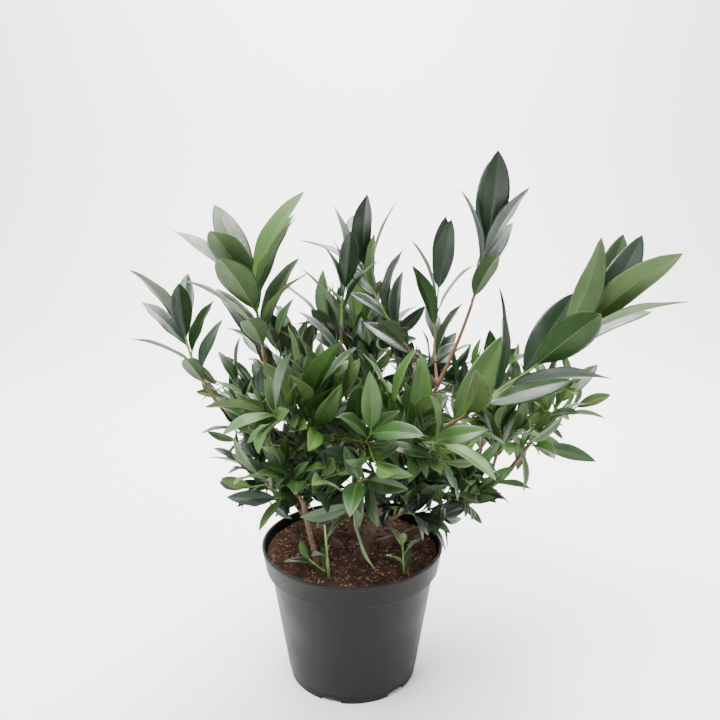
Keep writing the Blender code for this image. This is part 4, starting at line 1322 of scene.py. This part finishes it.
def rounded(points, radius):
    """A profile with its inner corners rounded off."""
    out = [points[0]]
    for before, corner, after in zip(points, points[1:], points[2:]):
        b, c, a = (np.array(p) for p in (before, corner, after))
        back, on = np.linalg.norm(b - c), np.linalg.norm(a - c)
        cut = min(radius, back * MOST_ROUND, on * MOST_ROUND)
        if cut < LEAST_ROUND:
            out.append(corner)
            continue
        p, q = c + (b - c) / back * cut, c + (a - c) / on * cut
        for t in np.linspace(0, 1, ROUND_STEPS):
            out.append(tuple((1 - t) ** 2 * p + 2 * t * (1 - t) * c + t * t * q))
    out.append(points[-1])
    return out


def pot_profile():
    """Inside from the axis up, over the rim, and down the outside to the axis."""
    ledge = POT_HEIGHT - COLLAR_HEIGHT
    return [
        (0.0, FLOOR),
        (WALL_FOOT_RADIUS - WALL, FLOOR),
        (WALL_TOP_RADIUS - WALL, ledge),
        (COLLAR_FOOT_RADIUS - WALL, ledge + LEDGE_RISE),
        (RIM_RADIUS - LIP - LIP_ROUND, POT_HEIGHT - LIP_DEPTH),
        (RIM_RADIUS - LIP, POT_HEIGHT),
        (RIM_RADIUS, POT_HEIGHT),
        *((RIM_RADIUS - inward * MM, POT_HEIGHT - down * MM) for inward, down in BEAD),
        (COLLAR_FOOT_RADIUS + COLLAR_EASE[0] * MM, ledge + COLLAR_EASE[1] * MM),
        (COLLAR_FOOT_RADIUS, ledge),
        (WALL_TOP_RADIUS, ledge - LEDGE_DROP),
        (WALL_FOOT_RADIUS + WALL_EASE[0] * MM, FOOT_BAND + WALL_EASE[1] * MM),
        (WALL_FOOT_RADIUS - FOOT_STEP, FOOT_BAND),
        (WALL_FOOT_RADIUS - FOOT_STEP - FOOT_TAPER, 0.0),
        (0.0, 0.0),
    ]


def notch_cutters():
    """A collection of the prisms that cut the drainage notches under the foot."""
    cutters = bpy.data.collections.new("cutters")
    width = WALL_FOOT_RADIUS * math.sin(math.radians(NOTCH_ANGLE / 2))
    right = [(width * w, NOTCH_HEIGHT * h) for w, h in NOTCH_SIDE]
    left = [(-x, z) for x, z in reversed(right)]
    outline = left[-1:] + right + left[:-1]
    for k in range(NOTCHES):
        turn = math.radians(NOTCH_FIRST + 360 / NOTCHES * k)
        shape = bmesh.new()
        near = [shape.verts.new((x, -NOTCH_DEPTH, z)) for x, z in outline]
        far = [shape.verts.new((x, NOTCH_DEPTH, z)) for x, z in outline]
        shape.faces.new(near)
        shape.faces.new(list(reversed(far)))
        for i in range(len(outline)):
            j = (i + 1) % len(outline)
            shape.faces.new((near[j], near[i], far[i], far[j]))
        bmesh.ops.recalc_face_normals(shape, faces=shape.faces)
        block = bpy.data.meshes.new("notch")
        shape.to_mesh(block)
        shape.free()
        cutter = bpy.data.objects.new("notch", block)
        cutter.location = Vector((math.sin(turn), -math.cos(turn), 0.0)) * WALL_FOOT_RADIUS
        cutter.rotation_euler.z = turn
        cutters.objects.link(cutter)
    bpy.context.scene.collection.children.link(cutters)
    return cutters


def pot_material():
    """Dark, finely grained plastic, a little dusty."""
    made, tree, shader = shader_of("pot_plastic", POT_COLOUR, POT_ROUGHNESS)
    shader.inputs["Specular IOR Level"].default_value = POT_SHEEN
    dust = noise_of(tree, 14.0, 6.0, 0.62)
    mix_colours(tree, shader, dust, POT_DARK, POT_DUSTY, 0.4, 0.75)
    vary_roughness(tree, shader, dust, *POT_DULL)
    grain = noise_of(tree, 900.0, 2.0)
    broad = noise_of(tree, 26.0, 3.0)
    height = math_node(tree, "ADD", grain, math_node(tree, "MULTIPLY", broad, 1.6))
    raise_bump(tree, shader, height, 0.22, 0.0004)
    return made


def make_pot():
    """The moulded pot with its collar, foot band and notches."""
    mesh = bpy.data.meshes.new("pot_body")
    verts, faces = lathe(rounded(pot_profile(), EDGE_ROUND), LATHE_STEPS)
    mesh.from_pydata(verts, [], faces)
    pot = add_object("pot_body", mesh)
    cutters = notch_cutters()
    cut = pot.modifiers.new("Notches", "BOOLEAN")
    cut.operation = "DIFFERENCE"
    cut.operand_type = "COLLECTION"
    cut.collection = cutters
    cut.solver = "EXACT"
    bpy.context.view_layer.update()
    graph = bpy.context.evaluated_depsgraph_get()
    mesh = bpy.data.meshes.new_from_object(pot.evaluated_get(graph))
    pot.modifiers.clear()
    pot.data = mesh
    for cutter in list(cutters.objects):
        bpy.data.objects.remove(cutter)
    bpy.data.collections.remove(cutters)
    mesh.shade_smooth()
    mesh.set_sharp_from_angle(angle=math.radians(SHARP_ANGLE))
    mesh.materials.clear()
    mesh.materials.append(pot_material())
    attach(pot, "root")
    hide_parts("pot")


def soil_level(x, y):
    """Height of the compost's crust, lumpy and a little lower at the pot's wall."""
    share = (math.hypot(x, y) - SOIL_FLAT_RADIUS) / (SOIL_EDGE - SOIL_FLAT_RADIUS)
    lumps = 0
    for height, scale, seed in LUMPS:
        lumps += height * MM * noise.noise(Vector((x * scale, y * scale, seed)))
    return SOIL_LEVEL - SOIL_EDGE_DROP * np.clip(share, 0, 1) + lumps - SOIL_SINK


def add_crust(batch):
    """The compost's closed top layer."""
    sides = SOIL_SIDES
    circle = [(math.cos(math.tau * i / sides), math.sin(math.tau * i / sides)) for i in range(sides)]
    verts = [(0, 0, soil_level(0, 0))]
    for k in range(1, SOIL_RINGS + 1):
        r = SOIL_EDGE * k / SOIL_RINGS
        verts += [(r * x, r * y, soil_level(r * x, r * y)) for x, y in circle]
    foot = SOIL_LEVEL - SOIL_DEPTH
    verts += [(SOIL_EDGE * x, SOIL_EDGE * y, foot) for x, y in circle]
    verts.append((0, 0, foot))
    faces = [(0, 1 + i, 1 + (i + 1) % sides) for i in range(sides)]
    for k in range(SOIL_RINGS):
        a, b = 1 + k * sides, 1 + (k + 1) * sides
        faces += [(a + i, b + i, b + (i + 1) % sides, a + (i + 1) % sides) for i in range(sides)]
    last = 1 + SOIL_RINGS * sides
    faces += [(len(verts) - 1, last + (i + 1) % sides, last + i) for i in range(sides)]
    batch.add(verts, faces, [0] * len(faces))


def add_chip(batch, rng):
    """One loose fibre or bark chip, lying at a slight tilt."""
    r, a = SOIL_EDGE * math.sqrt(rng.random()) * CHIP_SPREAD, rng.uniform(0, math.tau)
    x, y = r * math.cos(a), r * math.sin(a)
    slot = rng.choice(COMMON_CHIPS if rng.random() < COMMON_SHARE else PALE_CHIPS)
    long = rng.uniform(*(SHORT_CHIP if rng.random() < SHORT_SHARE else LONG_CHIP)) * MM
    if slot == PALE:
        long = rng.uniform(*PALE_CHIP) * MM
    wide = rng.uniform(*(LONG_WIDTH if long > LONG_FROM else SHORT_WIDTH)) * MM
    heading = rng.uniform(0, math.tau)
    tilt = rng.gauss(0, CHIP_TILT)
    flat = math.cos(tilt)
    along = np.array([math.cos(heading) * flat, math.sin(heading) * flat, math.sin(tilt)])
    curve = rng.uniform(-CHIP_CURVE, CHIP_CURVE)
    height = soil_level(x, y) + wide * CHIP_LIFT + abs(math.sin(tilt)) * long * CHIP_LIFT
    middle = np.array([x, y, height])
    steps = np.linspace(-0.5, 0.5, len(CHIP_OUTLINE))
    bow = np.outer((steps ** 2 - 0.1) * curve * long, np.cross(along, UP))
    line = middle + np.outer(steps * long, along) + bow
    if (np.hypot(line[:, 0], line[:, 1]) > SOIL_EDGE - CHIP_ROOM).any():
        return
    verts, faces, uvs = tube_mesh(line, np.array(CHIP_OUTLINE) * wide * 0.5, CHIP_SIDES)
    batch.add(verts, faces, [slot] * len(faces), uvs)


def make_soil():
    """A rough crust of compost under loose fibres, bark chips and pale bits."""
    rng = random.Random("compost")
    batch = Batch()
    add_crust(batch)
    for i in range(CHIPS):
        add_chip(batch, rng)
    made = batch.build("compost", plain_materials(COMPOST_LOOKS), ["soil"])
    for polygon in made.data.polygons:
        if polygon.material_index:
            polygon.use_smooth = False


def make_stage():
    """A floor that sweeps up into the wall behind."""
    level = SWEEP_BACK - SWEEP_CURVE
    sweep = [(-SWEEP_HALF, 0.0), (level, 0.0)]
    for t in np.linspace(0, math.pi / 2, SWEEP_STEPS)[1:]:
        sweep.append((level + SWEEP_CURVE * math.sin(t), SWEEP_CURVE - SWEEP_CURVE * math.cos(t)))
    sweep.append((SWEEP_BACK, SWEEP_HALF))
    verts = [(side, y, z) for y, z in sweep for side in (-SWEEP_HALF, SWEEP_HALF)]
    faces = [(2 * k, 2 * k + 1, 2 * k + 3, 2 * k + 2) for k in range(len(sweep) - 1)]
    mesh = bpy.data.meshes.new("backdrop")
    mesh.from_pydata(verts, [], faces)
    mesh.shade_smooth()
    mesh.materials.append(plain_material("backdrop", *FLOOR_LOOK))
    add_object("backdrop", mesh)


def area_light(name, place, aim, size, power, colour):
    light = bpy.data.lights.new(name, "AREA")
    light.shape = "DISK"
    light.size = size
    light.energy = power
    light.color = colour
    made = add_object(name, light)
    made.location = place
    made.rotation_euler = (Vector(aim) - Vector(place)).to_track_quat("-Z", "Y").to_euler()


def make_studio():
    """A white world, four soft lights and the camera at the photograph's angle."""
    world = bpy.data.worlds.new("studio")
    world.use_nodes = True
    background = world.node_tree.nodes["Background"]
    background.inputs["Color"].default_value = (1.0, 1.0, 1.0, 1.0)
    background.inputs["Strength"].default_value = WORLD_STRENGTH
    bpy.context.scene.world = world
    for name, settings in LIGHTS.items():
        area_light(name, *settings)
    camera = bpy.data.cameras.new("camera")
    camera.sensor_fit = "HORIZONTAL"
    camera.sensor_width = SENSOR
    camera.lens = FOCAL
    made = add_object("camera", camera)
    made.location = CAMERA_PLACE
    made.rotation_euler = (math.radians(90 - CAMERA_PITCH), 0.0, 0.0)
    bpy.context.scene.camera = made


limbs, stubs, masses = grow()
finer = grow_finer(limbs, stubs, masses)
make_leaves(masses, finer)
make_twigs(masses, finer)
make_wood(limbs)
make_pot()
make_soil()
make_stage()
make_studio()
